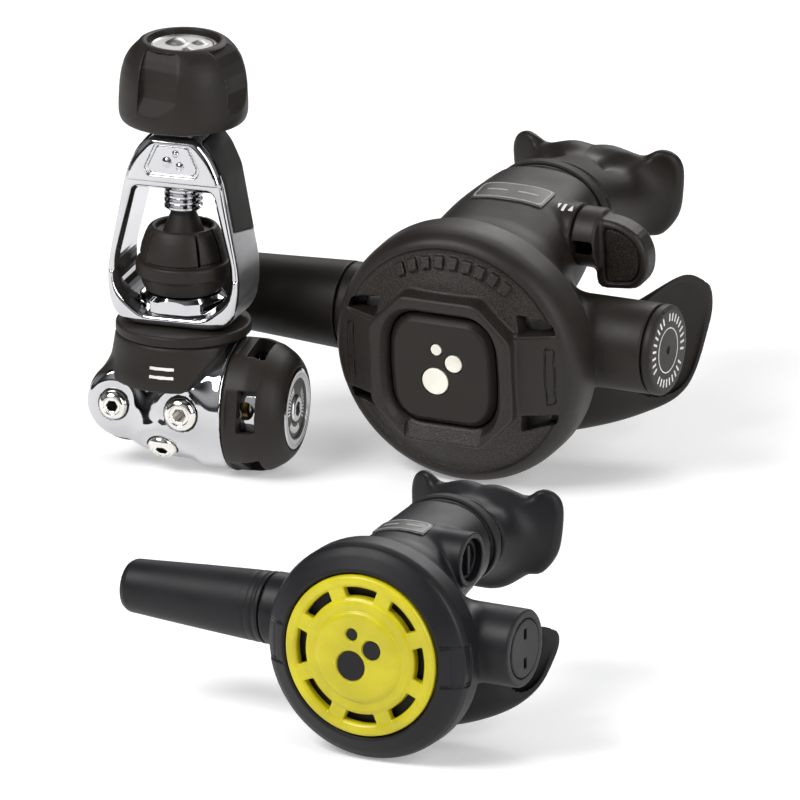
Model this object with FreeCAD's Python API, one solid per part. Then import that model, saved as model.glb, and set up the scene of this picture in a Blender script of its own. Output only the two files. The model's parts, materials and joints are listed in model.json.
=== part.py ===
"""Scuba regulator set: a yoke first stage, a primary second stage and an octopus second stage.

Row frame, millimetres, +Z up. The origin is the middle of the first stage's flat foot. +X runs along the
first stage's body towards its diaphragm end, and -Y is the side that its port plugs face.
The first stage is drawn about its inlet axis, and everything is moved by -FOOT_X at the end.
Each second stage is drawn in a frame of its own: origin at the centre of its cover's rim, -Y out through
the purge button, +Y towards the mouthpiece, -X towards its hose, +Z up.
"""
import FreeCAD, Part
from FreeCAD import Placement, Rotation, Vector
import math
import os

# ---------------------------------------------------------------- driving dimensions, first stage
FOOT_X = 14.5            # middle of the flat foot, from the inlet axis
BODY_Z = 21.6            # height of the body's long axis over the foot
BODY_R = 22.0            # round diaphragm end of the body
BODY_END_X = 19.2        # face that the diaphragm seals on
BAR_LEFT_X = -15.6       # centre of the body's rounded left end
BAR_Z = 22.4             # its height
BAR_R = 12.0
BAR_Y = 15.0             # half depth of the bar
PILLAR_R = 16.0
COLLAR_Z = 45.3          # underside of the black collar
YOKE_Z = 48.8            # underside of the yoke
YOKE_DEPTH = 25.0
YOKE_TOP = 114.0
RETAINER_R = 9.0         # inlet retainer where it passes through the yoke
RETAINER_TOP = 59.0
VALVE_R = 6.0            # high-pressure valve bore
SCREW_R = 6.35           # half-inch yoke screw
SCREW_PITCH = 2.0
SCREW_Z = 86.8           # tip of the threaded part at rest
RUNNING = 0.06           # radial clearance of a shaft in its hole
WHEEL_Z = 117.0          # underside of the handwheel
WHEEL_R = 21.2
WHEEL_TOP = 144.5
LP_PORT_R = 4.4          # 3/8-24 UNF hole at its thread crests
LP_PORT_DEPTH = 9.0
HIGH_PORT_R = 5.1        # 7/16-20 UNF hole at its thread crests
PORT_FACE_Y = 19.0       # the rear bosses' faces
REAR_BOSS_R = 8.6
REAR_PORTS_X = (-13.0, 7.0)
WINDOWS = 5              # water windows round the end cap
WINDOW_TURN = 8.0        # turn of the first one from the top, towards the front

# ---------------------------------------------------------------- driving dimensions, second stages
HOSE_R = 5.6             # half the outside diameter of the hose that each boot grips
BARB_R = 3.6
BARB_LENGTH = 12.0
PURGE_TRAVEL = 3.0
FLAP_GAP = 0.4

PRIMARY = dict(
    at=(93.36, 7.46, 43.95), yaw=-7.0, pitch=5.6,
    rim=44.0, wall=2.5, depth=36.0, skirt=10.0,
    tube_y=22.0, tube_z=1.0, tube_r=7.5,
    boss_left=(-50.0, 14.6), boss_right=(60.0, 15.0), cap=(3.4, 15.0, 0.3),
    neck=((15.0, 17.0, 23.0, 19.0), (40.0, 20.0, 21.0, 18.5), (66.0, 23.0, 20.0, 16.5)),
    spigot=(74.0, 17.3, 13.8),
    throat=((80.0, 21.5, 18.5, 15.0), (91.0, 18.0, 21.0, 14.5), (101.0, 15.5, 25.0, 14.5)),
    flange=(101.0, 14.5, 32.0, 18.0, 4.0), tabs=(12.0, 9.0, 3.0, 14.0),
    boot=((-50.3, 14.7), (-86.0, 12.8), (-105.0, 12.2)), nut=(8.4, 18.0),
    plate_r=14.0, label=(26.0, 12.0), label_y=43.0,
    cover_end=9.7, exhaust_y=28.0, exhaust_r=7.5,
    tee=((0.0, 31.0, -25.0, 15.2, 14.8), (24.0, 37.0, -22.0, 15.0, 12.0),
         (43.0, 43.0, -14.0, 20.0, 9.5), (57.0, 49.0, -8.0, 23.5, 7.5)),
)
OCTOPUS = dict(
    at=(152.36, -270.67, 36.0), yaw=-9.3, pitch=0.0,
    rim=36.0, wall=2.2, depth=31.0, skirt=8.0,
    tube_y=18.0, tube_z=2.0, tube_r=6.6,
    boss_left=(-44.0, 11.9), boss_right=(46.0, 12.75), cap=(1.6, 9.75, 0.0),
    neck=((12.0, 15.0, 19.0, 16.0), (32.0, 18.0, 18.0, 15.5), (51.0, 21.0, 17.0, 14.0)),
    spigot=(58.0, 14.6, 11.6),
    throat=((63.0, 20.0, 15.6, 12.8), (71.0, 18.0, 17.5, 12.5), (79.0, 17.0, 20.5, 13.0)),
    flange=(79.0, 16.5, 27.0, 17.0, 3.6), tabs=(10.0, 8.0, 2.8, 12.0),
    boot=((-44.3, 11.8), (-60.0, 10.9), (-98.0, 8.7)), nut=(7.6, 13.0),
    plate_r=11.5, label=(19.0, 8.0), label_y=34.0,
    cover_end=7.5, exhaust_y=23.0, exhaust_r=6.0,
    tee=((0.0, 26.0, -20.0, 12.2, 11.8), (18.0, 30.0, -19.0, 12.0, 9.5),
         (34.0, 36.0, -11.0, 14.5, 7.5), (45.0, 40.0, -6.0, 16.5, 6.0)),
)
BUTTON_W = 35.0          # primary purge button
BUTTON_H = 33.0
FRAME_W = 47.0           # raised frame round it
FRAME_H = 45.0
FRAME_CUT = 11.0         # its clipped corners
BUTTON_GAP = 0.4
BUTTON_FACE = -17.2      # front of the purge button
FRAME_BACK = -12.0
PURGE_R = 26.8           # octopus purge cover
PURGE_HUB_R = 19.6
PURGE_INNER_R = 14.7
SPOKES = 8
LEVER_AT = (27.0, 45.0, 27.0)
LEVER_HUB_R = 8.0


# ---------------------------------------------------------------- helpers
def box(x0, x1, y0, y1, z0, z1):
    return Part.makeBox(x1 - x0, y1 - y0, z1 - z0, Vector(x0, y0, z0))


def rod(radius, start, end):
    start = Vector(*start)
    along = Vector(*end) - start
    return Part.makeCylinder(radius, along.Length, start, along)


def tube(outer, inner, start, end):
    return rod(outer, start, end).cut(rod(inner, start, end))


def turned_x(profile, y, z):
    """Solid of revolution about the line through (y, z) along X, from (x, radius) corners."""
    wire = Part.makePolygon([Vector(x, y, z + r) for x, r in profile + profile[:1]])
    return Part.Face(wire).revolve(Vector(0, y, z), Vector(1, 0, 0), 360)


def turned_y(profile):
    """Solid of revolution about the Y axis, from (radius, y) corners."""
    wire = Part.makePolygon([Vector(r, y, 0) for r, y in profile + profile[:1]])
    return Part.Face(wire).revolve(Vector(0, 0, 0), Vector(0, 1, 0), 360)


def turned_z(profile):
    """Solid of revolution about the Z axis, from (radius, z) corners."""
    wire = Part.makePolygon([Vector(r, 0, z) for r, z in profile + profile[:1]])
    return Part.Face(wire).revolve(Vector(0, 0, 0), Vector(0, 0, 1), 360)


def plate_xz(points, y0, y1):
    """Flat plate whose outline is given in X and Z, between two values of Y."""
    wire = Part.makePolygon([Vector(x, y0, z) for x, z in points + points[:1]])
    return Part.Face(wire).extrude(Vector(0, y1 - y0, 0))


def mirrored_outline(half):
    """Closed outline from the (half width, z) pairs of its right side."""
    return half + [(-x, z) for x, z in reversed(half)]


def hexagon(across_flats, x, y, z, depth, toward):
    """Hexagonal prism from a point along a direction."""
    radius = across_flats / math.sqrt(3)
    points = []
    for i in range(7):
        turn = math.radians(60 * i)
        points.append(Vector(radius * math.cos(turn), radius * math.sin(turn), 0))
    prism = Part.Face(Part.makePolygon(points)).extrude(Vector(0, 0, depth))
    prism.Placement = Placement(Vector(x, y, z), Rotation(Vector(0, 0, 1), Vector(*toward)))
    return prism


def oval(x, y, z, half_x, half_z):
    """Ellipse in a plane across the Y axis."""
    centre = Vector(x, y, z)
    if half_x >= half_z:
        curve = Part.Ellipse(centre + Vector(half_x, 0, 0), centre + Vector(0, 0, half_z), centre)
    else:
        curve = Part.Ellipse(centre + Vector(0, 0, half_z), centre - Vector(half_x, 0, 0), centre)
    return Part.Wire(curve.toShape())


def oval_x(x, y, z, half_z, half_y):
    """Ellipse in a plane across the X axis, taller than it is deep."""
    centre = Vector(x, y, z)
    curve = Part.Ellipse(centre + Vector(0, 0, half_z), centre + Vector(0, half_y, 0), centre)
    return Part.Wire(curve.toShape())


def swept(sections):
    return Part.makeLoft(sections, True, False)


def coil(radius, wire, start_x, end_x, turns, y, z):
    """Coil spring along X."""
    length = end_x - start_x - 2 * wire
    helix = Part.makeHelix(length / turns, length, radius)
    circle = Part.Circle(Vector(radius, 0, 0), Vector(0, 1, 0), wire)
    section = Part.Wire(circle.toShape())
    spring = Part.Wire(helix).makePipeShell([section], True, True)
    spring.Placement = Placement(Vector(start_x + wire, y, z), Rotation(Vector(0, 1, 0), 90))
    return spring


def joined(shapes):
    whole = shapes[0]
    if len(shapes) > 1:
        whole = shapes[0].multiFuse(shapes[1:])
    return whole.removeSplitter()


# ---------------------------------------------------------------- first stage
def port_plug(at, toward, radius):
    """Port plug: shank, domed flange and hexagonal socket, seated on a face at `at`."""
    along = Vector(*toward).normalize()
    foot = Vector(*at)
    profile = [(0, -5.5), (radius - 0.05, -5.5), (radius - 0.05, 0), (radius + 1.5, 0), (radius + 1.5, 1.9),
               (radius + 0.4, 3.2), (0, 3.2)]
    plug = turned_z(profile)
    plug = plug.cut(hexagon(5.0, 0, 0, 3.2 - 3.0, 4.0, (0, 0, 1)))
    plug.Placement = Placement(foot, Rotation(Vector(0, 0, 1), along))
    return plug


PLUG_PLACES = (
    ((-18.7, -BAR_Y - 0.9, BAR_Z), (0, -1, 0), LP_PORT_R),
    ((6.0, -20.6, 23.0), (0, -1, 0), HIGH_PORT_R),
    ((-2.0, -15.4, 10.2), (0, -0.76, -0.65), LP_PORT_R),
)


def plug_seal(at, toward, radius):
    """O-ring squeezed between a plug's flange and its port face."""
    along = Vector(*toward).normalize()
    return Part.makeTorus(radius + 0.65, 0.6, Vector(*at) - along * 0.45, along)


def body_block():
    bar = box(BAR_LEFT_X, 14, -BAR_Y, BAR_Y, BAR_Z - BAR_R, BAR_Z + BAR_R)
    left_end = rod(BAR_R, (BAR_LEFT_X, -BAR_Y, BAR_Z), (BAR_LEFT_X, BAR_Y, BAR_Z))
    swell = turned_x([(-14, 0), (-14, 12), (10, BODY_R), (BODY_END_X, BODY_R), (BODY_END_X, 0)], 0, BODY_Z)
    pillar = rod(PILLAR_R, (0, 0, BAR_Z), (0, 0, COLLAR_Z))
    block = [bar, left_end, swell, pillar]
    for at, toward, radius in PLUG_PLACES:
        along = Vector(*toward).normalize()
        face = Vector(*at) - along * 0.9
        root = face - along * 9
        block.append(rod(radius + 4.6, tuple(root), tuple(face)))
    for x in REAR_PORTS_X:
        block.append(rod(REAR_BOSS_R, (x, 8, BAR_Z), (x, PORT_FACE_Y, BAR_Z)))
    body = joined(block)
    for x in REAR_PORTS_X:
        body = body.cut(rod(REAR_BOSS_R, (x, PORT_FACE_Y, BAR_Z), (x, PORT_FACE_Y + 8, BAR_Z)))
    body = body.cut(box(-60, 60, -60, 60, -20, 0))
    body = body.cut(rod(VALVE_R, (-20, 0, BODY_Z), (BODY_END_X + 1, 0, BODY_Z)))
    body = body.cut(rod(11, (15.5, 0, BODY_Z), (BODY_END_X + 1, 0, BODY_Z)))
    body = body.cut(rod(RETAINER_R, (0, 0, 38), (0, 0, COLLAR_Z + 1)))
    body = body.cut(rod(3.5, (0, 0, BODY_Z), (0, 0, 39)))
    for at, toward, radius in PLUG_PLACES:
        along = Vector(*toward).normalize()
        face = Vector(*at)
        body = body.cut(rod(radius, tuple(face - along * 7), tuple(face + along)))
        body = body.cut(rod(radius + 2.0, tuple(face - along * 0.9), tuple(face + along * 9)))
        body = body.cut(rod(1.8, tuple(face - along * 12), tuple(face)))
    for x in REAR_PORTS_X:
        body = body.cut(rod(LP_PORT_R, (x, PORT_FACE_Y - LP_PORT_DEPTH, BAR_Z), (x, PORT_FACE_Y + 1, BAR_Z)))
        body = body.cut(rod(1.8, (x, 3, BAR_Z), (x, PORT_FACE_Y, BAR_Z)))
    return body.cut(joined([plug_seal(*p) for p in PLUG_PLACES]))


def body_shroud(body):
    """Black rubber shroud that flares from the collar over the body's top, left end and back."""
    flare = turned_z([(0, 29.0), (23.5, 29.0), (24.6, 31.0), (23.6, 38.0), (22.4, COLLAR_Z), (0, COLLAR_Z)])
    flare = flare.cut(box(11.5, 60, -60, 60, 20, 60))
    wrap = joined([
        box(BAR_LEFT_X, 11.5, -12.5, BAR_Y + 1.8, BAR_Z - BAR_R - 1.6, BAR_Z + BAR_R + 1.6),
        rod(BAR_R + 1.6, (BAR_LEFT_X, -12.5, BAR_Z), (BAR_LEFT_X, BAR_Y + 1.8, BAR_Z)),
    ])
    shroud = joined([flare, wrap])
    shroud = shroud.cut(box(-60, 60, -60, -14.0, 0, 30.5))
    for at, toward, radius in PLUG_PLACES:
        along = Vector(*toward).normalize()
        shroud = shroud.cut(rod(radius + 5.2, tuple(Vector(*at) - along * 9), tuple(Vector(*at) + along * 9)))
    for x in REAR_PORTS_X:
        shroud = shroud.cut(rod(REAR_BOSS_R + 0.4, (x, 0, BAR_Z), (x, 30, BAR_Z)))
    shroud = shroud.cut(rod(2.6, (0, 0, BODY_Z), (0, 0, 44)))
    shroud = shroud.cut(rod(PILLAR_R, (0, 0, 20), (0, 0, COLLAR_Z)))
    shroud = shroud.cut(turned_x([(-30, 0), (-30, 12.2), (-14, 12.2), (10, BODY_R + 0.2), (22, BODY_R + 0.2),
                                  (22, 0)], 0, BODY_Z))
    shroud = shroud.cut(box(BAR_LEFT_X - BAR_R, 14, -BAR_Y, BAR_Y, BAR_Z - 2, BAR_Z + 2))
    shroud = shroud.cut(body)
    return max(shroud.Solids, key=lambda solid: solid.Volume)


def yoke_outline():
    return mirrored_outline([(13.5, YOKE_Z), (19.0, 51.0), (21.6, 55.5), (22.8, 63.0), (22.4, 70.0),
                             (16.4, 101.0), (13.0, 108.0), (9.0, 112.6), (7.0, YOKE_TOP)])


def yoke_window():
    return mirrored_outline([(10.5, 54.0), (17.2, 59.5), (19.2, 64.0), (19.1, 71.0), (13.4, 94.6), (12.2, 95.6)])


def yoke_pads():
    """Dark pads let into the outer side of each arm."""
    outer = [(22.75, 69.0), (16.75, 101.0), (13.35, 108.2), (9.6, 112.6)]
    inner = [(8.4, 111.6), (12.2, 107.0), (15.5, 100.5), (21.35, 69.0)]
    pads = []
    for side in (1, -1):
        pad = plate_xz([(side * x, z) for x, z in outer + inner], -8.5, 10.5)
        slant = Part.makeBox(60, 60, 20, Vector(-30, -30, -20))
        slant.Placement = Placement(Vector(0, 0, 74), Rotation(Vector(1, 0, 0), 35))
        pads.append(pad.cut(slant))
    return Part.makeCompound([p.Solids[0] for p in pads])


def yoke(pads):
    half = YOKE_DEPTH / 2
    frame = plate_xz(yoke_outline(), -half, half)
    upright = [e for e in frame.Edges if abs(e.BoundBox.YLength - YOKE_DEPTH) < 0.01]
    frame = frame.makeFillet(1.2, upright)
    frame = frame.cut(plate_xz(yoke_window(), -half - 1, half + 1))
    frame = frame.cut(rod(RETAINER_R, (0, 0, 40), (0, 0, 60)))
    frame = frame.cut(rod(14.3, (0, 0, 54), (0, 0, 60)))
    frame = frame.cut(rod(SCREW_R + RUNNING, (0, 0, 90), (0, 0, 120)))
    return frame.cut(pads)


def collar():
    return turned_z([(RETAINER_R, COLLAR_Z), (22.6, COLLAR_Z), (23.2, COLLAR_Z + 0.8), (23.2, YOKE_Z - 1.0),
                     (22.4, YOKE_Z), (RETAINER_R, YOKE_Z)])


def inlet_seal():
    return Part.makeTorus(6.3, 1.0, Vector(0, 0, RETAINER_TOP - 0.3), Vector(0, 0, 1))


def inlet_retainer():
    """Screws the yoke to the body and carries the cylinder valve's sealing face."""
    body = turned_z([(4.0, 38.0), (RETAINER_R, 38.0), (RETAINER_R, 54.0), (14.0, 54.0), (14.0, 57.5),
                     (12.6, RETAINER_TOP), (4.0, RETAINER_TOP)])
    for i in range(6):
        flat = box(13.2, 20, -10, 10, 53, 60)
        flat.rotate(Vector(0, 0, 0), Vector(0, 0, 1), 30 + 60 * i)
        body = body.cut(flat)
    return body.cut(inlet_seal())


def inlet_filter():
    """Sintered bronze filter cup in the retainer."""
    return turned_z([(0, 50.0), (3.95, 50.0), (3.95, 57.6), (2.8, 57.6), (2.2, 52.0), (0, 52.0)])


def orifice_crown():
    crown = tube(VALVE_R, 1.6, (8.6, 0, BODY_Z), (12.6, 0, BODY_Z))
    return crown.fuse(tube(2.6, 1.6, (7.8, 0, BODY_Z), (8.6, 0, BODY_Z)))


def balance_plug():
    plug = tube(VALVE_R, 1.56, (-20, 0, BODY_Z), (-13, 0, BODY_Z))
    return plug.cut(rod(3.4, (-14.5, 0, BODY_Z), (-13, 0, BODY_Z)))


def main_poppet():
    """Poppet held on the crown by its spring; the stem slides in the balance plug."""
    head = rod(3.4, (-2, 0, BODY_Z), (6.6, 0, BODY_Z))
    seat = rod(2.9, (6.6, 0, BODY_Z), (7.78, 0, BODY_Z))
    stem = rod(1.5, (-18.5, 0, BODY_Z), (-2, 0, BODY_Z))
    return joined([head, seat, stem])


def lifter_pin():
    pin = rod(1.2, (7.8, 0, BODY_Z), (17.2, 0, BODY_Z))
    return joined([pin, rod(6.5, (17.2, 0, BODY_Z), (18.9, 0, BODY_Z))])


def ip_diaphragm():
    """Rubber diaphragm clamped between the body and the spring carrier."""
    return turned_x([(BODY_END_X, 0), (BODY_END_X, 16.3), (BODY_END_X + 1.3, 16.3), (BODY_END_X + 1.3, 0)],
                    0, BODY_Z)


def spring_pad():
    return turned_x([(20.8, 0), (20.8, 9.5), (22.4, 9.5), (22.4, 5.2), (25.0, 5.2), (25.0, 0)], 0, BODY_Z)


def spring_carrier():
    """Chromed carrier that clamps the diaphragm; its ring shows at the end of the cap."""
    carrier = turned_x([(20.5, 12.0), (20.5, 16.9), (34.5, 16.9), (36.0, 14.4), (36.0, 13.3), (38.9, 13.3),
                        (39.3, 12.6), (39.3, 11.8), (36.4, 11.8), (36.4, 9.9), (33.0, 9.9), (33.0, 12.0)],
                       0, BODY_Z)
    for i in range(WINDOWS):
        hole = rod(3.0, (26.5, 0, BODY_Z), (26.5, 0, BODY_Z + 20))
        hole.rotate(Vector(0, 0, BODY_Z), Vector(1, 0, 0), WINDOW_TURN + 360 / WINDOWS * i)
        carrier = carrier.cut(hole)
    return carrier


def adjusting_screw():
    """Sets the intermediate pressure; its hexagonal socket is in the end face."""
    screw = turned_x([(31.8, 0), (31.8, 9.85), (36.4, 9.85), (36.4, 11.6), (38.9, 11.6), (38.9, 0)], 0, BODY_Z)
    return screw.cut(hexagon(6.4, 34.0, 0, BODY_Z, 6.0, (1, 0, 0)))


def end_cap():
    """Rubber bumper cap with its water windows."""
    cap = turned_x([(19.5, 17.0), (19.5, BODY_R - 0.4), (20.3, BODY_R), (27.0, BODY_R), (32.0, 20.6),
                    (36.0, 18.2), (38.0, 16.2), (38.9, 14.6), (38.9, 13.4), (36.1, 13.4), (36.1, 15.4),
                    (34.8, 17.0)], 0, BODY_Z)
    for i in range(WINDOWS):
        window = box(24.6, 30.8, -7.0, 7.0, 14, 26)
        window.translate(Vector(0, 0, BODY_Z))
        window = window.cut(box(0, 40, -10, 10, BODY_Z - 2, BODY_Z + 12))
        window.rotate(Vector(0, 0, BODY_Z), Vector(1, 0, 0), WINDOW_TURN + 360 / WINDOWS * i)
        cap = cap.cut(window)
    return cap.cut(box(0, 60, -60, 60, -20, 0))


def yoke_screw():
    """Threaded screw; the handwheel is moulded on its upper end."""
    profile = [(2.0 + RUNNING, SCREW_Z), (SCREW_R - 0.9, SCREW_Z)]
    z = SCREW_Z
    while z < 114:
        profile.append((SCREW_R, z + 0.35 * SCREW_PITCH))
        profile.append((SCREW_R, z + 0.65 * SCREW_PITCH))
        profile.append((SCREW_R - 0.9, z + SCREW_PITCH))
        z += SCREW_PITCH
    profile += [(SCREW_R, z + 0.9), (SCREW_R, 134.0), (0, 134.0), (0, 94.0), (2.0 + RUNNING, 94.0)]
    return turned_z(profile)


def screw_foot():
    """Cone that presses on the dust cap; its pin turns in the screw."""
    return turned_z([(0, 78.4), (6.4, 78.4), (6.75, 79.2), (4.3, 85.2), (4.1, SCREW_Z - 0.3), (2.0, SCREW_Z - 0.3),
                     (2.0, 93.6), (0, 93.6)])


def handwheel(screw):
    wheel = turned_z([(8.0, WHEEL_Z), (19.4, WHEEL_Z), (20.6, WHEEL_Z + 1.0), (WHEEL_R, WHEEL_Z + 3.4),
                      (WHEEL_R, WHEEL_Z + 6.0), (20.5, WHEEL_Z + 12), (19.0, WHEEL_Z + 18), (17.0, WHEEL_Z + 23),
                      (15.0, WHEEL_Z + 26), (12.6, WHEEL_TOP), (11.7, WHEEL_TOP), (11.7, WHEEL_TOP - 1.6),
                      (0, WHEEL_TOP - 1.6), (0, WHEEL_Z + 10), (8.0, WHEEL_Z + 10)])
    for i in range(4):
        flat = box(18.6, 30, -6.6, 6.6, WHEEL_Z + 6, WHEEL_Z + 24)
        flat.rotate(Vector(18.6, 0, WHEEL_Z + 6), Vector(0, 1, 0), -12)
        flat.rotate(Vector(0, 0, 0), Vector(0, 0, 1), 90 * i - 117)
        wheel = wheel.cut(flat)
    return wheel.cut(screw)


def handwheel_disc():
    return turned_z([(0, WHEEL_TOP - 1.6), (11.5, WHEEL_TOP - 1.6), (11.5, WHEEL_TOP - 0.9),
                     (11.1, WHEEL_TOP - 0.6), (0, WHEEL_TOP - 0.6)])


def dust_cap():
    return turned_z([(11.0, 59.4), (14.0, 59.4), (14.0, 61.6), (15.7, 61.9), (15.7, 66.0), (14.9, 66.6),
                     (14.4, 72.0), (13.2, 77.0), (12.0, 79.4), (11.0, 80.0), (9.4, 80.0), (9.0, 78.0),
                     (0, 78.0), (0, 75.0), (9.5, 75.0), (11.0, 71.0)])


def first_stage():
    body = body_block()
    pads = yoke_pads()
    screw = yoke_screw()
    seals = [plug_seal(*p) for p in PLUG_PLACES] + [inlet_seal()]
    plugs = [port_plug(*p).cut(joined(seals)) for p in PLUG_PLACES]
    return {
        "body_block": body,
        "body_shroud": body_shroud(body),
        "body_collar": collar(),
        "yoke": yoke(pads),
        "yoke_side_pads": pads,
        "inlet_retainer": inlet_retainer(),
        "inlet_filter": inlet_filter(),
        "o_rings": Part.makeCompound(seals),
        "port_plugs": Part.makeCompound(plugs),
        "orifice_crown": orifice_crown(),
        "balance_plug": balance_plug(),
        "main_poppet": main_poppet(),
        "main_poppet_spring": coil(2.6, 0.35, -13.0, -2.05, 6, 0, BODY_Z),
        "lifter_pin": lifter_pin(),
        "ip_diaphragm": ip_diaphragm(),
        "spring_pad": spring_pad(),
        "main_spring": coil(7.4, 1.0, 22.45, 31.75, 3, 0, BODY_Z),
        "spring_carrier": spring_carrier(),
        "adjusting_screw": adjusting_screw(),
        "end_cap": end_cap(),
        "yoke_screw": screw,
        "screw_foot": screw_foot(),
        "handwheel": handwheel(screw),
        "handwheel_disc": handwheel_disc(),
        "dust_cap": dust_cap(),
    }


# ---------------------------------------------------------------- second stages
def bowl(spec, inset):
    """The case's bowl as a solid, shrunk by `inset` all round."""
    rim = spec["rim"] - 2.5 - inset
    deep = spec["depth"] - inset
    front = 1.0 - (2.0 if inset else 0.0)
    return turned_y([(0, front), (rim, front), (rim, spec["skirt"]), (rim - 2.5, spec["skirt"] + 6),
                     (rim - 12, deep - 6), (rim - 19, deep), (0, deep)])


def neck(spec, inset):
    """Oval passage from the bowl to the mouthpiece, shrunk by `inset`."""
    sections = [oval(0, y, z, a - inset, b - inset) for y, z, a, b in spec["neck"]]
    return swept(sections)


def spigot(spec, inset, start=0.0):
    """Straight oval that the mouthpiece is pulled over."""
    y, z = spec["neck"][-1][:2]
    end, a, b = spec["spigot"]
    return swept([oval(0, y - start, z, a - inset, b - inset), oval(0, end, z, a - inset, b - inset)])


def tube_line(spec, x):
    return (x, spec["tube_y"], spec["tube_z"])


def exhaust_port(spec):
    """Point on the bowl's sloping back, and the outward direction there."""
    rim = spec["rim"] - 2.5
    upper = (rim - 2.5, spec["skirt"] + 6)
    lower = (rim - 12, spec["depth"] - 6)
    part = (spec["exhaust_y"] - upper[1]) / (lower[1] - upper[1])
    radius = upper[0] + part * (lower[0] - upper[0])
    out = Vector(0, upper[0] - lower[0], upper[1] - lower[1]).normalize()
    return Vector(0, spec["exhaust_y"], -radius), out


def case(spec, extra, cuts):
    """Bowl, neck and the two bosses of the valve tube, in one moulding."""
    left_x, left_r = spec["boss_left"]
    right_x, right_r = spec["boss_right"]
    solid = joined([bowl(spec, 0), neck(spec, 0), spigot(spec, 0),
                    rod(left_r, tube_line(spec, left_x), tube_line(spec, 0)),
                    rod(right_r, tube_line(spec, 0), tube_line(spec, right_x))] + extra)
    wall = spec["wall"]
    hollow = joined([bowl(spec, wall), neck(spec, wall)])
    solid = solid.cut(hollow)
    solid = solid.cut(spigot(spec, wall, 2.0))
    solid = solid.cut(rod(spec["tube_r"], tube_line(spec, left_x - 1), tube_line(spec, right_x + 1)))
    rim = spec["rim"]
    solid = solid.cut(tube(rim + 3, rim - 2.5, (0, -20, 0), (0, spec["cover_end"], 0)))
    point, out = exhaust_port(spec)
    solid = solid.cut(rod(spec["exhaust_r"] - 2.2, tuple(point - out * 5), tuple(point + out * 3)))
    for piece in cuts:
        solid = solid.cut(piece)
    return max(solid.Solids, key=lambda s: s.Volume)


def valve_tube(spec):
    """Metal tube across the case: hose thread, orifice and the poppet's bore."""
    radius = spec["tube_r"]
    left = spec["boss_left"][0]
    right = spec["boss_right"][0] - 4
    barrel = rod(radius, tube_line(spec, left), tube_line(spec, right))
    stub = rod(radius - 1.6, tube_line(spec, left - 8), tube_line(spec, left))
    pipe = joined([barrel, stub])
    pipe = pipe.cut(rod(radius - 1.4, tube_line(spec, left + 14), tube_line(spec, right + 1)))
    pipe = pipe.cut(rod(2.4, tube_line(spec, left - 9), tube_line(spec, left + 15)))
    seat = tube(3.2, 2.4, tube_line(spec, left + 14), tube_line(spec, left + 14.8))
    pipe = joined([pipe, seat])
    front = spec["tube_y"] - radius
    z = spec["tube_z"]
    return pipe.cut(box(5.4, 11.6, front - 1, front + 3.4, z - 3, z + 3))


def demand_lever(spec):
    """Lever from the valve tube to the diaphragm plate; it turns about an axis along Z."""
    z = spec["tube_z"]
    pivot_y = spec["tube_y"] - spec["tube_r"] - 1.7
    tip_x = -12.0
    tip_y = 2.9
    slope = Vector(tip_x - 8.0, tip_y + 0.5 - pivot_y, 0)
    along = slope.normalize()
    across = Vector(-along.y, along.x, 0) * 0.6
    start = Vector(8.0, pivot_y, z - 2.5)
    end = Vector(tip_x, tip_y + 0.7, z - 2.5)
    corners = [start - across, end - across, end + across, start + across, start - across]
    arm = Part.Face(Part.makePolygon(corners)).extrude(Vector(0, 0, 5))
    barrel = rod(1.4, (8.0, pivot_y, z - 4.5), (8.0, pivot_y, z + 4.5))
    foot = box(7.4, 8.6, pivot_y, pivot_y + 4.9, z - 2, z + 2)
    tip = rod(0.8, (tip_x, tip_y + 0.8, z - 2.5), (tip_x, tip_y + 0.8, z + 2.5))
    return joined([arm, barrel, foot, tip])


def valve_poppet(spec):
    left = spec["boss_left"][0] + 14.85
    radius = spec["tube_r"] - 1.4 - 0.3
    head = rod(radius, tube_line(spec, left), tube_line(spec, left + 4))
    stem = rod(2.0, tube_line(spec, left + 4), tube_line(spec, 20))
    shoulder = rod(radius, tube_line(spec, 9.1), tube_line(spec, 13))
    return joined([head, stem, shoulder])


def poppet_spring(spec):
    radius = spec["tube_r"] - 1.4 - 1.2
    return coil(radius, 0.4, 13.05, 29.0, 7, spec["tube_y"], spec["tube_z"])


def tube_cap(spec):
    """Plug that closes the valve tube and seats the spring."""
    right = spec["boss_right"][0]
    thick, radius, gap = spec["cap"]
    inner = spec["tube_r"] - 1.4
    shank = rod(inner, tube_line(spec, 29.05), tube_line(spec, right + gap))
    collar_part = rod(spec["tube_r"], tube_line(spec, right - 3.9), tube_line(spec, right + gap))
    start = right + gap
    head = rod(radius, tube_line(spec, start), tube_line(spec, start + thick))
    cap = joined([shank, collar_part, head])
    rim = [e for e in cap.Edges if abs(e.BoundBox.XMin - start - thick) < 0.01 and e.Length > 6 * radius * 0.9]
    cap = cap.makeFillet(0.8, rim)
    return cap


def diaphragm(spec):
    """Silicone diaphragm with one rolled convolution, moulded round its plate."""
    edge = spec["rim"] - 2.5 - spec["wall"]
    inner = spec["plate_r"] + 0.3
    middle = (edge + inner) / 2
    return turned_y([(inner, 0.7), (middle - 4, 0.7), (middle - 2.5, -0.6), (middle + 2.5, -0.6),
                     (middle + 4, 0.7), (edge, 0.7), (edge, 1.7), (middle + 3.5, 1.7), (middle + 2, 0.4),
                     (middle - 2, 0.4), (middle - 3.5, 1.7), (inner, 1.7)])


def diaphragm_plate(spec):
    radius = spec["plate_r"]
    return turned_y([(0, 0.4), (radius, 0.4), (radius, 1.9), (0, 1.9)])


def exhaust_valve(spec):
    """Mushroom flap outside the case's exhaust port, under the tee."""
    point, out = exhaust_port(spec)
    start = point + out * FLAP_GAP
    return rod(spec["exhaust_r"], tuple(start), tuple(start + out))


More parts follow.
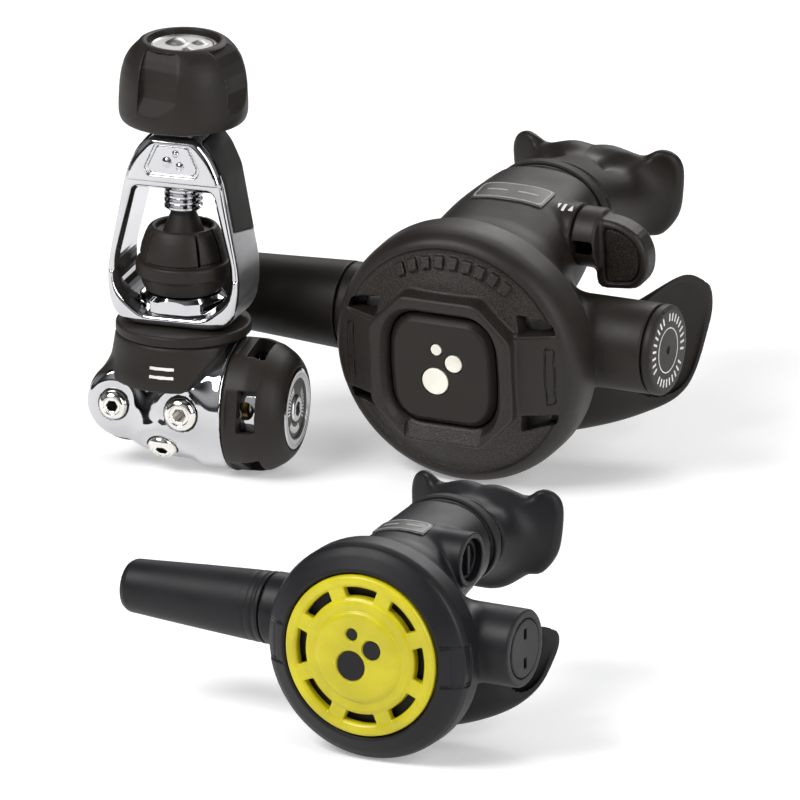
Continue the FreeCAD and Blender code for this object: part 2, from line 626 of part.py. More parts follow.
def tee_sections(spec, inset):
    sections = []
    for x, y, z, half_z, half_y in spec["tee"]:
        sections.append((x, y, z, half_z - inset, half_y - inset))
    return sections


def exhaust_tee(spec, inset):
    """Hollow rubber tee: two wings that carry the bubbles back past the cheeks."""
    wings = []
    hollows = []
    for side in (1, -1):
        outer = [oval_x(side * x, y, z, a, b) for x, y, z, a, b in tee_sections(spec, 0)]
        inner = [oval_x(side * x, y, z, a, b) for x, y, z, a, b in tee_sections(spec, inset)]
        wings.append(swept(outer))
        hollows.append(swept(inner))
        x, y, z, a, b = tee_sections(spec, inset)[-1]
        hollows.append(swept([oval_x(side * x, y, z, a, b), oval_x(side * (x + 3), y + 1, z, a, b)]))
    tee = joined(wings).cut(joined(hollows))
    point, out = exhaust_port(spec)
    mouth = rod(spec["exhaust_r"] + 1.0, tuple(point - out * 12), tuple(point + out * 3.2))
    return tee.cut(mouth)


def mouthpiece(spec):
    """Silicone mouthpiece: sleeve, throat, curved flange and two bite tabs."""
    y0, z0, a0, b0 = spec["neck"][-1]
    end, spigot_a, spigot_b = spec["spigot"]
    sleeve = swept([oval(0, y0 + 0.2, z0, a0, b0), oval(0, end - 2, z0, a0, b0)])
    throat = swept([oval(0, end - 2, z0, a0, b0)] + [oval(0, y, z, a, b) for y, z, a, b in spec["throat"]])
    flange_y, flange_z, flange_a, flange_b, thick = spec["flange"]
    lip = swept([oval(0, flange_y - 0.6 * thick, flange_z, flange_a - 4, flange_b - 4),
                 oval(0, flange_y, flange_z, flange_a, flange_b),
                 oval(0, flange_y + thick, flange_z, flange_a - 1, flange_b - 1)])
    length, width, tab_h, offset = spec["tabs"]
    tabs = []
    for side in (1, -1):
        middle = side * (offset + width / 2)
        top = flange_y + thick + length
        neck_part = box(middle - width / 2, middle + width / 2, flange_y + thick - 1, top,
                        flange_z - tab_h / 2, flange_z + tab_h / 2)
        bead = box(middle - width / 2, middle + width / 2, top - 3.5, top, flange_z - 4.5, flange_z + 4.5)
        tabs += [neck_part, bead]
    whole = joined([sleeve, throat, lip] + tabs)
    bore = swept([oval(0, end - 0.5, z0, spigot_a - 2.5, spigot_b - 2.5)]
                 + [oval(0, y, z, a - 3.2, b - 3.2) for y, z, a, b in spec["throat"]]
                 + [oval(0, flange_y + thick + 0.5, flange_z, spec["throat"][-1][2] - 3.2,
                         spec["throat"][-1][3] - 3.2)])
    whole = whole.cut(bore)
    return whole.cut(spigot(spec, -0.02, 1.0))


def mouthpiece_tie(spec):
    """Clamp band in the sleeve's groove."""
    y0, z0, a0, b0 = spec["neck"][-1]
    y1 = y0 + 2.0
    outer = swept([oval(0, y1, z0, a0 + 0.9, b0 + 0.9), oval(0, y1 + 3.6, z0, a0 + 0.9, b0 + 0.9)])
    inner = swept([oval(0, y1 - 1, z0, a0 + 0.02, b0 + 0.02), oval(0, y1 + 5, z0, a0 + 0.02, b0 + 0.02)])
    return outer.cut(inner)


def swivel_nut(spec):
    """Hose swivel: hexagonal nut on the valve tube's thread, with the hose barb behind it."""
    radius, length = spec["nut"]
    start = spec["boss_left"][0] - 0.6
    stub_r = spec["tube_r"] - 1.6 + RUNNING
    nut = hexagon(radius * math.sqrt(3), *tube_line(spec, start), length, (-1, 0, 0))
    barb = rod(BARB_R, tube_line(spec, start - length), tube_line(spec, start - length - BARB_LENGTH))
    whole = joined([nut, barb])
    whole = whole.cut(rod(stub_r, tube_line(spec, start + 1), tube_line(spec, start - 8)))
    return whole.cut(rod(2.2, tube_line(spec, start), tube_line(spec, start - length - BARB_LENGTH - 1)))


def hose_boot(spec):
    """Rubber boot over the swivel; its far end grips the hose."""
    profile = [(x, r) for x, r in spec["boot"]]
    near_x = profile[0][0]
    far_x, far_r = profile[-1]
    radius, length = spec["nut"]
    pocket = spec["boss_left"][0] - 0.6 - length - 0.4
    neck_r = BARB_R + 0.5
    hose_end = pocket - BARB_LENGTH - 2.5
    corners = profile[:-1] + [(far_x + 1.2, far_r), (far_x, far_r - 1.2), (far_x, HOSE_R), (hose_end, HOSE_R),
                              (hose_end, neck_r), (pocket - 1.5, neck_r), (pocket, radius + 0.1),
                              (near_x, radius + 0.1)]
    return turned_x(corners, spec["tube_y"], spec["tube_z"])


def label_plate(spec):
    """Thin metal label let into the top of the neck."""
    width, length = spec["label"]
    y = spec["label_y"]
    (ya, za, aa, ba), (yb, zb, ab, bb), (yc, zc, ac, bc) = spec["neck"]
    part = (y - yb) / (yc - yb)
    top = zb + bb + part * ((zc + bc) - (zb + bb))
    slab = box(-width / 2, width / 2, y - length / 2, y + length / 2, top - 8, top + 5)
    skin = neck(spec, -0.35).cut(neck(spec, 0.0))
    plate = skin.common(slab)
    return max(plate.Solids, key=lambda s: s.BoundBox.ZMax)


# ---------------------------------------------------------------- primary only
def primary_cover(spec):
    """Domed front cover with a raised frame round the purge button and four vents."""
    rim = spec["rim"]
    seat = rim - 2.5
    dome = turned_y([(0, -15.6), (20, -15.0), (28, -12.6), (34, -9.8), (38, -7.6), (39.5, -7.6), (41.6, -6.4),
                     (43.2, -3.6), (rim, 0), (rim, 8.5), (rim - 0.8, 9.6), (seat, 9.6), (seat, 0.9),
                     (seat - 2.4, 0.9), (seat - 2.4, 0.5), (36.5, -5.2), (32, -8.2), (26, -10.8), (18, -12.6),
                     (0, -13.0)])
    half_w = FRAME_W / 2
    half_h = FRAME_H / 2
    frame = plate_xz(mirrored_outline([(half_w - FRAME_CUT, -half_h), (half_w, FRAME_CUT - half_h),
                                       (half_w, half_h - FRAME_CUT), (half_w - FRAME_CUT, half_h)]), -18.4, FRAME_BACK)
    cover = joined([dome, frame])
    hole = plate_xz(button_outline(BUTTON_GAP), -25, 5)
    cover = cover.cut(hole)
    for side_x in (1, -1):
        for side_z in (1, -1):
            slot = box(26.0, 37.0, -20, 2, 15.5, 18.6)
            slot.rotate(Vector(31, 0, 17), Vector(0, 1, 0), 14)
            turned = slot.mirror(Vector(0, 0, 0), Vector(1, 0, 0)) if side_x < 0 else slot
            turned = turned.mirror(Vector(0, 0, 0), Vector(0, 0, 1)) if side_z < 0 else turned
            cover = cover.cut(turned)
    return cover


def button_outline(gap):
    """Rounded square of the purge button, widened by `gap`."""
    half_w = BUTTON_W / 2 + gap
    half_h = BUTTON_H / 2 + gap
    return mirrored_outline([(half_w - 7.5, -half_h), (half_w - 2.6, 3.4 - half_h), (half_w - 0.4, 9 - half_h),
                             (half_w, 0), (half_w - 0.4, half_h - 9), (half_w - 2.6, half_h - 3.4),
                             (half_w - 7.5, half_h)])


def primary_button():
    """Purge button with a chamfered face and a post behind it."""
    plate = plate_xz(button_outline(0), BUTTON_FACE, BUTTON_FACE + 6.2)
    front = [e for e in plate.Edges if abs(e.BoundBox.YMax - BUTTON_FACE) < 0.01]
    plate = plate.makeChamfer(1.2, front)
    post = rod(4.0, (0, BUTTON_FACE + 6.2, 0), (0, -0.3, 0))
    return joined([plate, post])


def adjustment_lever():
    """Venturi lever: hub turning in the case's side boss, and a paddle."""
    x, y, z = LEVER_AT
    hub = rod(LEVER_HUB_R, (x - 3.5, y, z), (x + 5.0, y, z))
    shaft = rod(3.0, (x - 15.0, y, z), (x - 3.5, y, z))
    vane = box(x - 20.0, x - 15.0, y - 3.5, y + 3.5, z - 0.8, z + 0.8)
    paddle = plate_xz([(x + 3.0, z + 7.6), (x + 12.0, z + 7.0), (x + 19.5, z + 3.5), (x + 21.6, z - 3.0),
                       (x + 20.5, z - 10.5), (x + 15.0, z - 15.5), (x + 7.0, z - 16.5), (x + 2.0, z - 12.0)],
                      y - 4.6, y + 4.2)
    return joined([hub, shaft, paddle, vane])


def primary():
    spec = PRIMARY
    x, y, z = LEVER_AT
    boss = rod(LEVER_HUB_R + 0.6, (x - 16.0, y, z), (x - 4.0, y, z))
    bore = rod(3.0 + RUNNING, (x - 17.0, y, z), (x, y, z))
    shell = case(spec, [boss], [bore])
    tee = exhaust_tee(spec, 2.0).cut(shell)
    return {
        "case": shell,
        "cover": primary_cover(spec),
        "purge_button": primary_button(),
        "label_plate": biggest(label_plate(spec).cut(shell)),
        "adjustment_lever": adjustment_lever(),
        "exhaust_tee": biggest(tee),
    }


# ---------------------------------------------------------------- octopus only
def octopus_cover(spec):
    """Wide black ring round the purge cover, with notched grips at its sides."""
    rim = spec["rim"]
    seat = rim - 2.5
    hole = PURGE_R + 0.4
    ring = turned_y([(hole, -6.6), (hole + 0.8, -7.2), (rim - 3.0, -4.6), (rim - 0.7, -3.0), (rim, -1.0),
                     (rim, 6.5), (rim - 0.8, 7.4), (seat, 7.4), (seat, 0.5), (seat - 2.2, 0.5), (hole, -2.0)])
    for side in (1, -1):
        notch = box(side * 33 - 4, side * 33 + 4, -12, -4.0, -7.0, 7.0)
        ring = ring.cut(notch)
    return ring


def octopus_purge():
    """Bright purge cover: rim, eight spokes and a stepped hub, with slots between the spokes."""
    rim_in = 22.8
    disc = turned_y([(0, -9.6), (PURGE_INNER_R, -9.6), (PURGE_INNER_R + 0.5, -9.0), (PURGE_HUB_R - 1.5, -8.6),
                     (PURGE_HUB_R, -7.6), (PURGE_HUB_R, -4.0), (0, -4.0)])
    ring = turned_y([(rim_in, -7.0), (rim_in + 1.0, -8.0), (PURGE_R - 0.6, -8.0), (PURGE_R, -7.2),
                     (PURGE_R, -4.4), (rim_in, -4.4)])
    pieces = [disc, ring]
    for i in range(SPOKES):
        spoke = box(PURGE_HUB_R - 2.0, rim_in + 1.0, -7.6, -4.6, -2.2, 2.2)
        spoke.rotate(Vector(0, 0, 0), Vector(0, 1, 0), 360.0 / SPOKES * (i + 0.5))
        pieces.append(spoke)
    pieces.append(rod(3.4, (0, -4.2, 0), (0, -0.3, 0)))
    return joined(pieces)


def octopus():
    spec = OCTOPUS
    stub = rod(9.0, (8.0, 38.0, 21.0), (24.0, 38.0, 21.0))
    stub_bore = rod(7.0, (18.0, 38.0, 21.0), (25.0, 38.0, 21.0))
    shell = case(spec, [stub], [stub_bore])
    tee = exhaust_tee(spec, 1.8).cut(shell)
    return {
        "case": shell,
        "cover_ring": octopus_cover(spec),
        "purge_cover": octopus_purge(),
        "label_plate": biggest(label_plate(spec).cut(shell)),
        "exhaust_tee": biggest(tee),
    }


def biggest(shape):
    return max(shape.Solids, key=lambda s: s.Volume)


def common_pieces(spec):
    """The pieces that both second stages have."""
    return {
        "valve_tube": valve_tube(spec),
        "tube_cap": tube_cap(spec),
        "valve_poppet": valve_poppet(spec),
        "poppet_spring": poppet_spring(spec),
        "demand_lever": demand_lever(spec),
        "diaphragm": diaphragm(spec),
        "diaphragm_plate": diaphragm_plate(spec),
        "exhaust_valve": exhaust_valve(spec),
        "mouthpiece": mouthpiece(spec),
        "mouthpiece_tie": mouthpiece_tie(spec),
        "swivel_nut": swivel_nut(spec),
        "hose_boot": hose_boot(spec),
    }


def unit_placement(spec):
    turn = Rotation(Vector(0, 0, 1), spec["yaw"]).multiply(Rotation(Vector(1, 0, 0), spec["pitch"]))
    return Placement(Vector(*spec["at"]), turn)


def save(name, shape, placement):
    placed = shape.copy()
    moved = Placement(Vector(-FOOT_X, 0, 0), Rotation()).multiply(placement)
    placed.Placement = moved.multiply(placed.Placement)
    placed.exportStep("parts/" + name + ".step")
    print(name, len(placed.Solids), round(placed.Volume, 1), placed.isValid())


def main():
    os.makedirs("parts", exist_ok=True)
    for name, shape in first_stage().items():
        save(name, shape, Placement())
    for prefix, spec, own in (("primary_", PRIMARY, primary), ("octopus_", OCTOPUS, octopus)):
        pieces = {**own(), **common_pieces(spec)}
        for name, shape in pieces.items():
            save(prefix + name, shape, unit_placement(spec))


main()
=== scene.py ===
"""Looks for the scuba regulator set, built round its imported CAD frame.

Shapes are drawn as smooth distance fields in each unit's own frame, in millimetres, and meshed here.
The first stage's frame has its origin under the inlet axis. A second stage's has its origin at the centre
of its cover's rim, -Y out through the purge button, -X towards its hose and +Z up.
"""
import json
import math

import bpy
import numpy as np
from mathutils import Matrix, Vector


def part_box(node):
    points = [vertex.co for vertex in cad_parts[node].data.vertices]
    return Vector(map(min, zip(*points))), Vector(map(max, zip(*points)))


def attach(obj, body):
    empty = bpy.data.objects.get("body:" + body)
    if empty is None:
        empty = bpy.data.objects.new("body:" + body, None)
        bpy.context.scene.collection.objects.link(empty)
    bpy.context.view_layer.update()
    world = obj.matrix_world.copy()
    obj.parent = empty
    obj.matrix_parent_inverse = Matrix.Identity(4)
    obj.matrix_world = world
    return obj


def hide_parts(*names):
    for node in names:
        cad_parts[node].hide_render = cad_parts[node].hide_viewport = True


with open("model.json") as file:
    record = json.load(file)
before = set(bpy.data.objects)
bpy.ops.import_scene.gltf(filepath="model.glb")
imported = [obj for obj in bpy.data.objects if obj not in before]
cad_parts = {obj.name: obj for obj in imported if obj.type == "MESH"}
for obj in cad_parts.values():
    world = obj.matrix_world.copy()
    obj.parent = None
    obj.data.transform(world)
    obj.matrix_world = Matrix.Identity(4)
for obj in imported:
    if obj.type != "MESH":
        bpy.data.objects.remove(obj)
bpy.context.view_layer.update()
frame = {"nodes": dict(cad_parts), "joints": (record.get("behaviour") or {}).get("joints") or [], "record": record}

COARSE = 1.0
ORIGIN = (0, 0, 0)
UP = (0, 0, 1)
ALONG_X = (1, 0, 0)
ALONG_Y = (0, 1, 0)


# ---------------------------------------------------------------- distance fields
def smooth_min(a, b, blend):
    if blend <= 0:
        return np.minimum(a, b)
    share = np.maximum(blend - np.abs(a - b), 0) / blend
    return np.minimum(a, b) - share * share * blend / 4


def union(blend, *fields):
    def field(p):
        d = fields[0](p)
        for other in fields[1:]:
            d = smooth_min(d, other(p), blend)
        return d
    return field


def cut(blend, base, *tools):
    def field(p):
        d = base(p)
        for tool in tools:
            d = -smooth_min(-d, tool(p), blend)
        return d
    return field


def both(blend, *fields):
    def field(p):
        d = fields[0](p)
        for other in fields[1:]:
            d = -smooth_min(-d, -other(p), blend)
        return d
    return field


def rounded_slab(side, end, rounding):
    """Distance to a prism from its side and end distances, with its edges rounded."""
    side = side + rounding
    end = end + rounding
    corner = np.hypot(np.maximum(side, 0), np.maximum(end, 0))
    return np.minimum(np.maximum(side, end), 0) + corner - rounding


def rod(start, end, radius, end_radius=None, rounding=0.5):
    """Rod or cone with rounded ends."""
    start = np.array(start, float)
    along = np.array(end, float) - start
    length = np.linalg.norm(along)
    along /= length
    grow = 0.0 if end_radius is None else end_radius - radius

    def field(p):
        q = p - start
        t = q @ along
        reach = np.sqrt(np.maximum((q * q).sum(1) - t * t, 0))
        side = reach - radius - grow * np.clip(t / length, 0, 1)
        return rounded_slab(side, np.abs(t - length / 2) - length / 2, rounding)
    return field


def box(low, high, rounding=0.5):
    low = np.array(low, float)
    high = np.array(high, float)

    def field(p):
        q = np.abs(p - (low + high) / 2) - (high - low) / 2 + rounding
        return np.linalg.norm(np.maximum(q, 0), axis=1) + np.minimum(q.max(1), 0) - rounding
    return field


def ring(centre, axis, radius, thick):
    """Torus about one of the three axes."""
    centre = np.array(centre, float)

    def field(p):
        q = p - centre
        flat = np.delete(q, axis, 1)
        return np.hypot(np.linalg.norm(flat, axis=1) - radius, q[:, axis]) - thick
    return field


def ball(centre, radius):
    centre = np.array(centre, float)
    return lambda p: np.linalg.norm(p - centre, axis=1) - radius


def plane(point, normal):
    """Half space behind a plane."""
    point = np.array(point, float)
    normal = np.array(normal, float)
    normal /= np.linalg.norm(normal)
    return lambda p: (p - point) @ normal


def outline_distance(u, v, corners):
    """Signed distance to a closed outline in a plane."""
    best = np.full(u.shape, 1e9)
    inside = np.zeros(u.shape, bool)
    for (u0, v0), (u1, v1) in zip(corners, corners[1:] + corners[:1]):
        eu, ev = u1 - u0, v1 - v0
        if eu == 0 and ev == 0:
            continue
        wu, wv = u - u0, v - v0
        t = np.clip((wu * eu + wv * ev) / (eu * eu + ev * ev), 0, 1)
        best = np.minimum(best, (wu - eu * t) ** 2 + (wv - ev * t) ** 2)
        if ev != 0:
            inside ^= ((v0 > v) != (v1 > v)) & (wu < wv * eu / ev)
    return np.where(inside, -1, 1) * np.sqrt(best)


def front_distance(p, corners):
    """Distance to an outline drawn in the plane seen from the front."""
    return outline_distance(p[:, 0], p[:, 2], corners)


def eased(corners, radius, steps=3):
    """Closed outline with each corner replaced by a short curve."""
    made = []
    count = len(corners)
    for i in range(count):
        before, here, after = (np.array(corners[(i + j) % count], float) for j in (-1, 0, 1))
        back, forward = before - here, after - here
        reach = min(radius, 0.45 * np.linalg.norm(back), 0.45 * np.linalg.norm(forward))
        start = here + back / np.linalg.norm(back) * reach
        end = here + forward / np.linalg.norm(forward) * reach
        for step in range(steps + 1):
            t = step / steps
            made.append(tuple((1 - t) ** 2 * start + 2 * t * (1 - t) * here + t * t * end))
    return made


def hexagon(radius, turn=0, lift=0.0):
    """Outline of a hexagonal socket, its centre lifted along the second direction."""
    angles = [math.radians(60 * i + turn) for i in range(6)]
    return [(radius * math.cos(a), lift + radius * math.sin(a)) for a in angles]


def mirrored_outline(half):
    return half + [(-u, v) for u, v in reversed(half)]


def prism(outline, axis, low, high, rounding=0.5):
    """Outline in the plane across one axis, drawn out between two places on it."""
    u, v = ((1, 2), (0, 2), (0, 1))[axis]

    def field(p):
        side = outline_distance(p[:, u], p[:, v], outline)
        return rounded_slab(side, np.abs(p[:, axis] - (low + high) / 2) - (high - low) / 2, rounding)
    return field


def turned(profile, base, axis):
    """Solid of revolution from (place along the axis, radius) corners."""
    base = np.array(base, float)
    axis = np.array(axis, float) / np.linalg.norm(axis)
    solid = min(r for t, r in profile) <= 0
    closed = profile + [(t, -r) for t, r in reversed(profile)] if solid else profile

    def field(p):
        q = p - base
        t = q @ axis
        return outline_distance(t, np.sqrt(np.maximum((q * q).sum(1) - t * t, 0)), closed)
    return field


def lathe(corners, ease, base=ORIGIN, axis=UP):
    """Solid of revolution whose corners are eased."""
    return turned(eased(corners, ease), base, axis)


def spline_table(rows, steps=24):
    """Rows of numbers joined by a smooth curve through each of them."""
    rows = np.array(rows, float)
    padded = np.vstack([2 * rows[0] - rows[1], rows, 2 * rows[-1] - rows[-2]])
    made = []
    for a, b, c, d in zip(padded, padded[1:], padded[2:], padded[3:]):
        for step in range(steps):
            t = step / steps
            made.append(0.5 * (2 * b + (c - a) * t + (2 * a - 5 * b + 4 * c - d) * t ** 2
                               + (3 * b - a - 3 * c + d) * t ** 3))
    made.append(rows[-1])
    return np.array(made)


def loft(stations, axis=1, inset=0.0, rounding=0.8, power=2.0):
    """Oval tube. A station is a place on the axis, then the centre and half sizes on the other two axes.
    A power above 2 squares its sections off."""
    table = spline_table(sorted(stations))
    low, high = table[0, 0], table[-1, 0]
    u, v = ((1, 2), (0, 2), (0, 1))[axis]

    def field(p):
        place = np.clip(p[:, axis], low, high)
        cu, cv, hu, hv = (np.interp(place, table[:, 0], table[:, i]) for i in range(1, 5))
        hu = hu - inset
        hv = hv - inset
        du, dv = p[:, u] - cu, p[:, v] - cv
        au, av = np.abs(du / hu), np.abs(dv / hv)
        near = (au ** power + av ** power + 1e-9) ** (1 / power)
        steep = np.hypot(au ** (power - 1) / hu, av ** (power - 1) / hv) * near ** (1 - power)
        side = (near - 1) / np.maximum(steep, 0.5 / np.maximum(hu, hv))
        end = np.abs(p[:, axis] - (low + high) / 2) - (high - low) / 2
        return rounded_slab(side, end, rounding)
    return field


def spun(field, axis, degrees, centre=ORIGIN):
    """A field turned about an axis through a centre."""
    turn = np.array(Matrix.Rotation(math.radians(degrees), 3, Vector(axis)))
    centre = np.array(centre, float)
    return lambda p: field((p - centre) @ turn + centre)


def mirrored(field, axis=0):
    def seen(p):
        q = p.copy()
        q[:, axis] = np.abs(q[:, axis])
        return field(q)
    return seen


# ---------------------------------------------------------------- meshing
BLOCK = 5
NEAR = 1.25              # how many blocks away from the surface is still worked out


def sample(field, low, cell, counts):
    """Field values on a grid, worked out only in the blocks that the surface may cross."""
    blocks = -(-counts // BLOCK)
    index = np.stack(np.meshgrid(*(np.arange(n) for n in blocks), indexing="ij"), -1).reshape(-1, 3)
    middle = low + (index + 0.5) * BLOCK * cell
    value = field(middle)
    near = np.abs(value) < BLOCK * cell * NEAR
    grid = np.repeat(np.repeat(np.repeat(value.reshape(blocks), BLOCK, 0), BLOCK, 1), BLOCK, 2)
    wanted = np.repeat(np.repeat(np.repeat(near.reshape(blocks), BLOCK, 0), BLOCK, 1), BLOCK, 2)
    spots = np.argwhere(wanted)
    found = np.empty(len(spots))
    for i in range(0, len(spots), 400000):
        found[i:i + 400000] = field(low + spots[i:i + 400000] * cell)
    grid[tuple(spots.T)] = found
    return grid


def gradient(field, points, step):
    made = np.empty_like(points)
    for axis in range(3):
        shift = np.zeros(3)
        shift[axis] = step
        made[:, axis] = (field(points + shift) - field(points - shift)) / (2 * step)
    return made


def surface(field, low, high, cell):
    """Vertices, quads and normals of a field's zero surface, by surface nets."""
    low = np.array(low, float) - 2.5 * cell
    counts = np.ceil((np.array(high, float) - low) / cell).astype(int) + 3
    grid = sample(field, low, cell, counts)
    shape = np.array(grid.shape)
    total = np.zeros((shape.prod(), 3))
    number = np.zeros(shape.prod())
    quads = []
    steps = np.array([shape[1] * shape[2], shape[2], 1])
    for axis in range(3):
        ahead = [slice(None)] * 3
        behind = [slice(None)] * 3
        ahead[axis] = slice(1, None)
        behind[axis] = slice(None, -1)
        a, b = grid[tuple(behind)], grid[tuple(ahead)]
        crossing = np.argwhere((a < 0) != (b < 0))
        crossing = crossing[(crossing > 0).all(1)]
        from_value = a[tuple(crossing.T)]
        place = crossing.astype(float)
        place[:, axis] += from_value / (from_value - b[tuple(crossing.T)])
        one, two = [steps[i] for i in range(3) if i != axis]
        home = crossing @ steps
        cells = np.stack([home, home - one, home - one - two, home - two], 1)
        for corner in range(4):
            for i in range(3):
                total[:, i] += np.bincount(cells[:, corner], place[:, i], len(number))
            number += np.bincount(cells[:, corner], minlength=len(number))
        flip = (from_value < 0) == (axis == 1)
        cells[flip] = cells[flip][:, ::-1]
        quads.append(cells)
    quads = np.concatenate(quads)
    used, quads = np.unique(quads, return_inverse=True)
    quads = quads.reshape(-1, 4)
    points = low + total[used] / number[used][:, None] * cell
    for _ in range(2):
        slope = gradient(field, points, 0.1 * cell)
        move = field(points)[:, None] * slope / np.maximum((slope * slope).sum(1), 0.1)[:, None]
        size = np.linalg.norm(move, axis=1)[:, None]
        points = points - move * np.minimum(1, 0.45 * cell / np.maximum(size, 1e-9))
    normals = gradient(field, points, 0.3 * cell)
    normals /= np.maximum(np.linalg.norm(normals, axis=1), 1e-9)[:, None]
    return points, quads, normals


def carve(name, field, low, high, cell, place, body, nodes, slot, material, marks=None):
    """Meshes a field into a piece that rides on a body and stands for CAD nodes."""
    points, quads, normals = surface(field, low, high, cell * COARSE)
    mesh = bpy.data.meshes.new(name)
    mesh.vertices.add(len(points))
    turn = np.array(place)[:3, :3]
    mesh.vertices.foreach_set("co", (points @ turn.T + np.array(place)[:3, 3]).astype(np.float32).ravel())
    mesh.loops.add(quads.size)
    mesh.loops.foreach_set("vertex_index", quads.ravel().astype(np.int32))
    mesh.polygons.add(len(quads))
    mesh.polygons.foreach_set("loop_start", np.arange(0, quads.size, 4, dtype=np.int32))
    mesh.update()
    mesh.validate()
    mesh.shade_smooth()
    facing = normals @ (turn.T / np.linalg.norm(turn[:, 0]))
    mesh.normals_split_custom_set_from_vertices(facing.tolist())
    if marks is not None:
        layer = mesh.attributes.new("grain", "FLOAT", "POINT")
        layer.data.foreach_set("value", marks(points).astype(np.float32))
    mesh.materials.append(material)
    piece = bpy.data.objects.new(name, mesh)
    bpy.context.scene.collection.objects.link(piece)
    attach(piece, body)
    if nodes:
        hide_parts(*nodes)
    return piece


# ---------------------------------------------------------------- materials
class Shader:
    """A principled shader whose colour, roughness and bump all come from fine procedural variation."""

    def __init__(self, name):
        self.material = bpy.data.materials.new(name)
        self.material.use_nodes = True
        self.nodes = self.material.node_tree.nodes
        self.links = self.material.node_tree.links
        self.bsdf = self.nodes["Principled BSDF"]
        self.place = self.nodes.new("ShaderNodeTexCoord").outputs["Object"]

    def set(self, node=None, **values):
        """Sets inputs of a node, or of the shader itself. An underscore stands for a space."""
        for socket, value in values.items():
            (node or self.bsdf).inputs[socket.replace("_", " ")].default_value = value

    def make(self, kind, **values):
        node = self.nodes.new("ShaderNode" + kind)
        self.set(node, **values)
        return node

    def noise(self, scale, detail=3.0, stretch=None):
        node = self.make("TexNoise", Scale=scale, Detail=detail)
        source = self.place
        if stretch:
            mapping = self.make("Mapping", Scale=stretch)
            self.links.new(source, mapping.inputs["Vector"])
            source = mapping.outputs["Vector"]
        self.links.new(source, node.inputs["Vector"])
        return node.outputs["Fac"]

    def colour(self, dark, light, source, low=0.35, high=0.65):
        ramp = self.make("ValToRGB")
        for element, place, colour in zip(ramp.color_ramp.elements, (low, high), (dark, light)):
            element.position = place
            element.color = (*colour, 1)
        self.links.new(source, ramp.inputs["Fac"])
        return ramp.outputs["Color"]

    def span(self, source, low, high, start=0.3, end=0.7):
        node = self.make("MapRange", From_Min=start, From_Max=end, To_Min=low, To_Max=high)
        self.links.new(source, node.inputs["Value"])
        return node.outputs["Result"]

    def attribute(self, name):
        node = self.make("Attribute")
        node.attribute_name = name
        return node.outputs["Fac"]

    def mixed(self, factor, a, b, kind="RGBA"):
        """Mix of two sources, or of a source and a plain colour."""
        node = self.make("Mix")
        node.data_type = kind
        self.links.new(factor, node.inputs["Factor"])
        self.links.new(a, node.inputs["A"])
        if isinstance(b, tuple):
            node.inputs["B"].default_value = (*b, 1)
        else:
            self.links.new(b, node.inputs["B"])
        return node.outputs["Result"]

    def painted_edge_highlight(self, colour, light, low=0.53, high=0.62):
        """Painted highlight: lighter colour along the sharp convex edges, where light catches them."""
        edge = self.make("NewGeometry").outputs["Pointiness"]
        return self.mixed(self.span(edge, 0.0, 0.6, low, high), colour, light)

    def bump(self, *layers):
        """Stacks height layers given as (source, strength, height in metres)."""
        normal = None
        for source, strength, height in layers:
            node = self.make("Bump", Distance=height)
            if isinstance(strength, float):
                node.inputs["Strength"].default_value = strength
            else:
                self.links.new(strength, node.inputs["Strength"])
            self.links.new(source, node.inputs["Height"])
            if normal:
                self.links.new(normal, node.inputs["Normal"])
            normal = node.outputs["Normal"]
        self.links.new(normal, self.bsdf.inputs["Normal"])

    def feed(self, socket, source):
        self.links.new(source, self.bsdf.inputs[socket])


def shade(base, factor):
    return tuple(min(1.0, c * factor) for c in base)


def plastic(name, base, rough, grain=1800.0, depth=0.00004, strength=0.35, level=0.35, edge=1.6,
            masked=False):
    made = Shader(name)
    broad = made.noise(55.0, 4.0)
    fine = made.noise(grain, 2.0)
    tint = made.colour(shade(base, 0.86), shade(base, 1.14), broad)
    amount = strength
    if masked:
        mask = made.attribute("grain")
        # grained areas get fine specks: part grain colour, part painted sparkle standing in for light glinting on
        # the texture
        grain_speckle_and_sparkle = made.colour(shade(base, 0.55), shade(base, 3.2), made.noise(2300.0, 1.0), 0.42, 0.72)
        tint = made.mixed(mask, tint, grain_speckle_and_sparkle)
        amount = made.span(mask, 0.12, 0.95, 0.0, 1.0)
    # painted highlight: sharp convex edges are lightened towards shade(base, edge)
    made.feed("Base Color", made.painted_edge_highlight(tint, shade(base, edge)))
    made.feed("Roughness", made.span(broad, rough - 0.06, rough + 0.06))
    made.set(Specular_IOR_Level=level)
    made.bump((fine, amount, depth), (made.noise(320.0, 2.0), 0.12, depth * 2))
    return made.material


def metal(name, base, rough, scratch=0.06, grain=900.0, depth=0.00001, sides=False):
    """With sides on, faces marked by the grain attribute are brushed rather than polished."""
    made = Shader(name)
    broad = made.noise(40.0, 3.0)
    hairs = made.noise(grain, 2.0, (1.0, 0.06, 0.4))
    made.feed("Base Color", made.colour(shade(base, 0.94), shade(base, 1.05), broad))
    polished = made.span(broad, rough, rough * 1.7)
    if sides:
        brushed = made.span(hairs, 0.36, 0.46)
        polished = made.mixed(made.attribute("grain"), polished, brushed, "FLOAT")
    made.feed("Roughness", polished)
    made.set(Metallic=1.0)
    made.bump((hairs, scratch, depth))
    return made.material


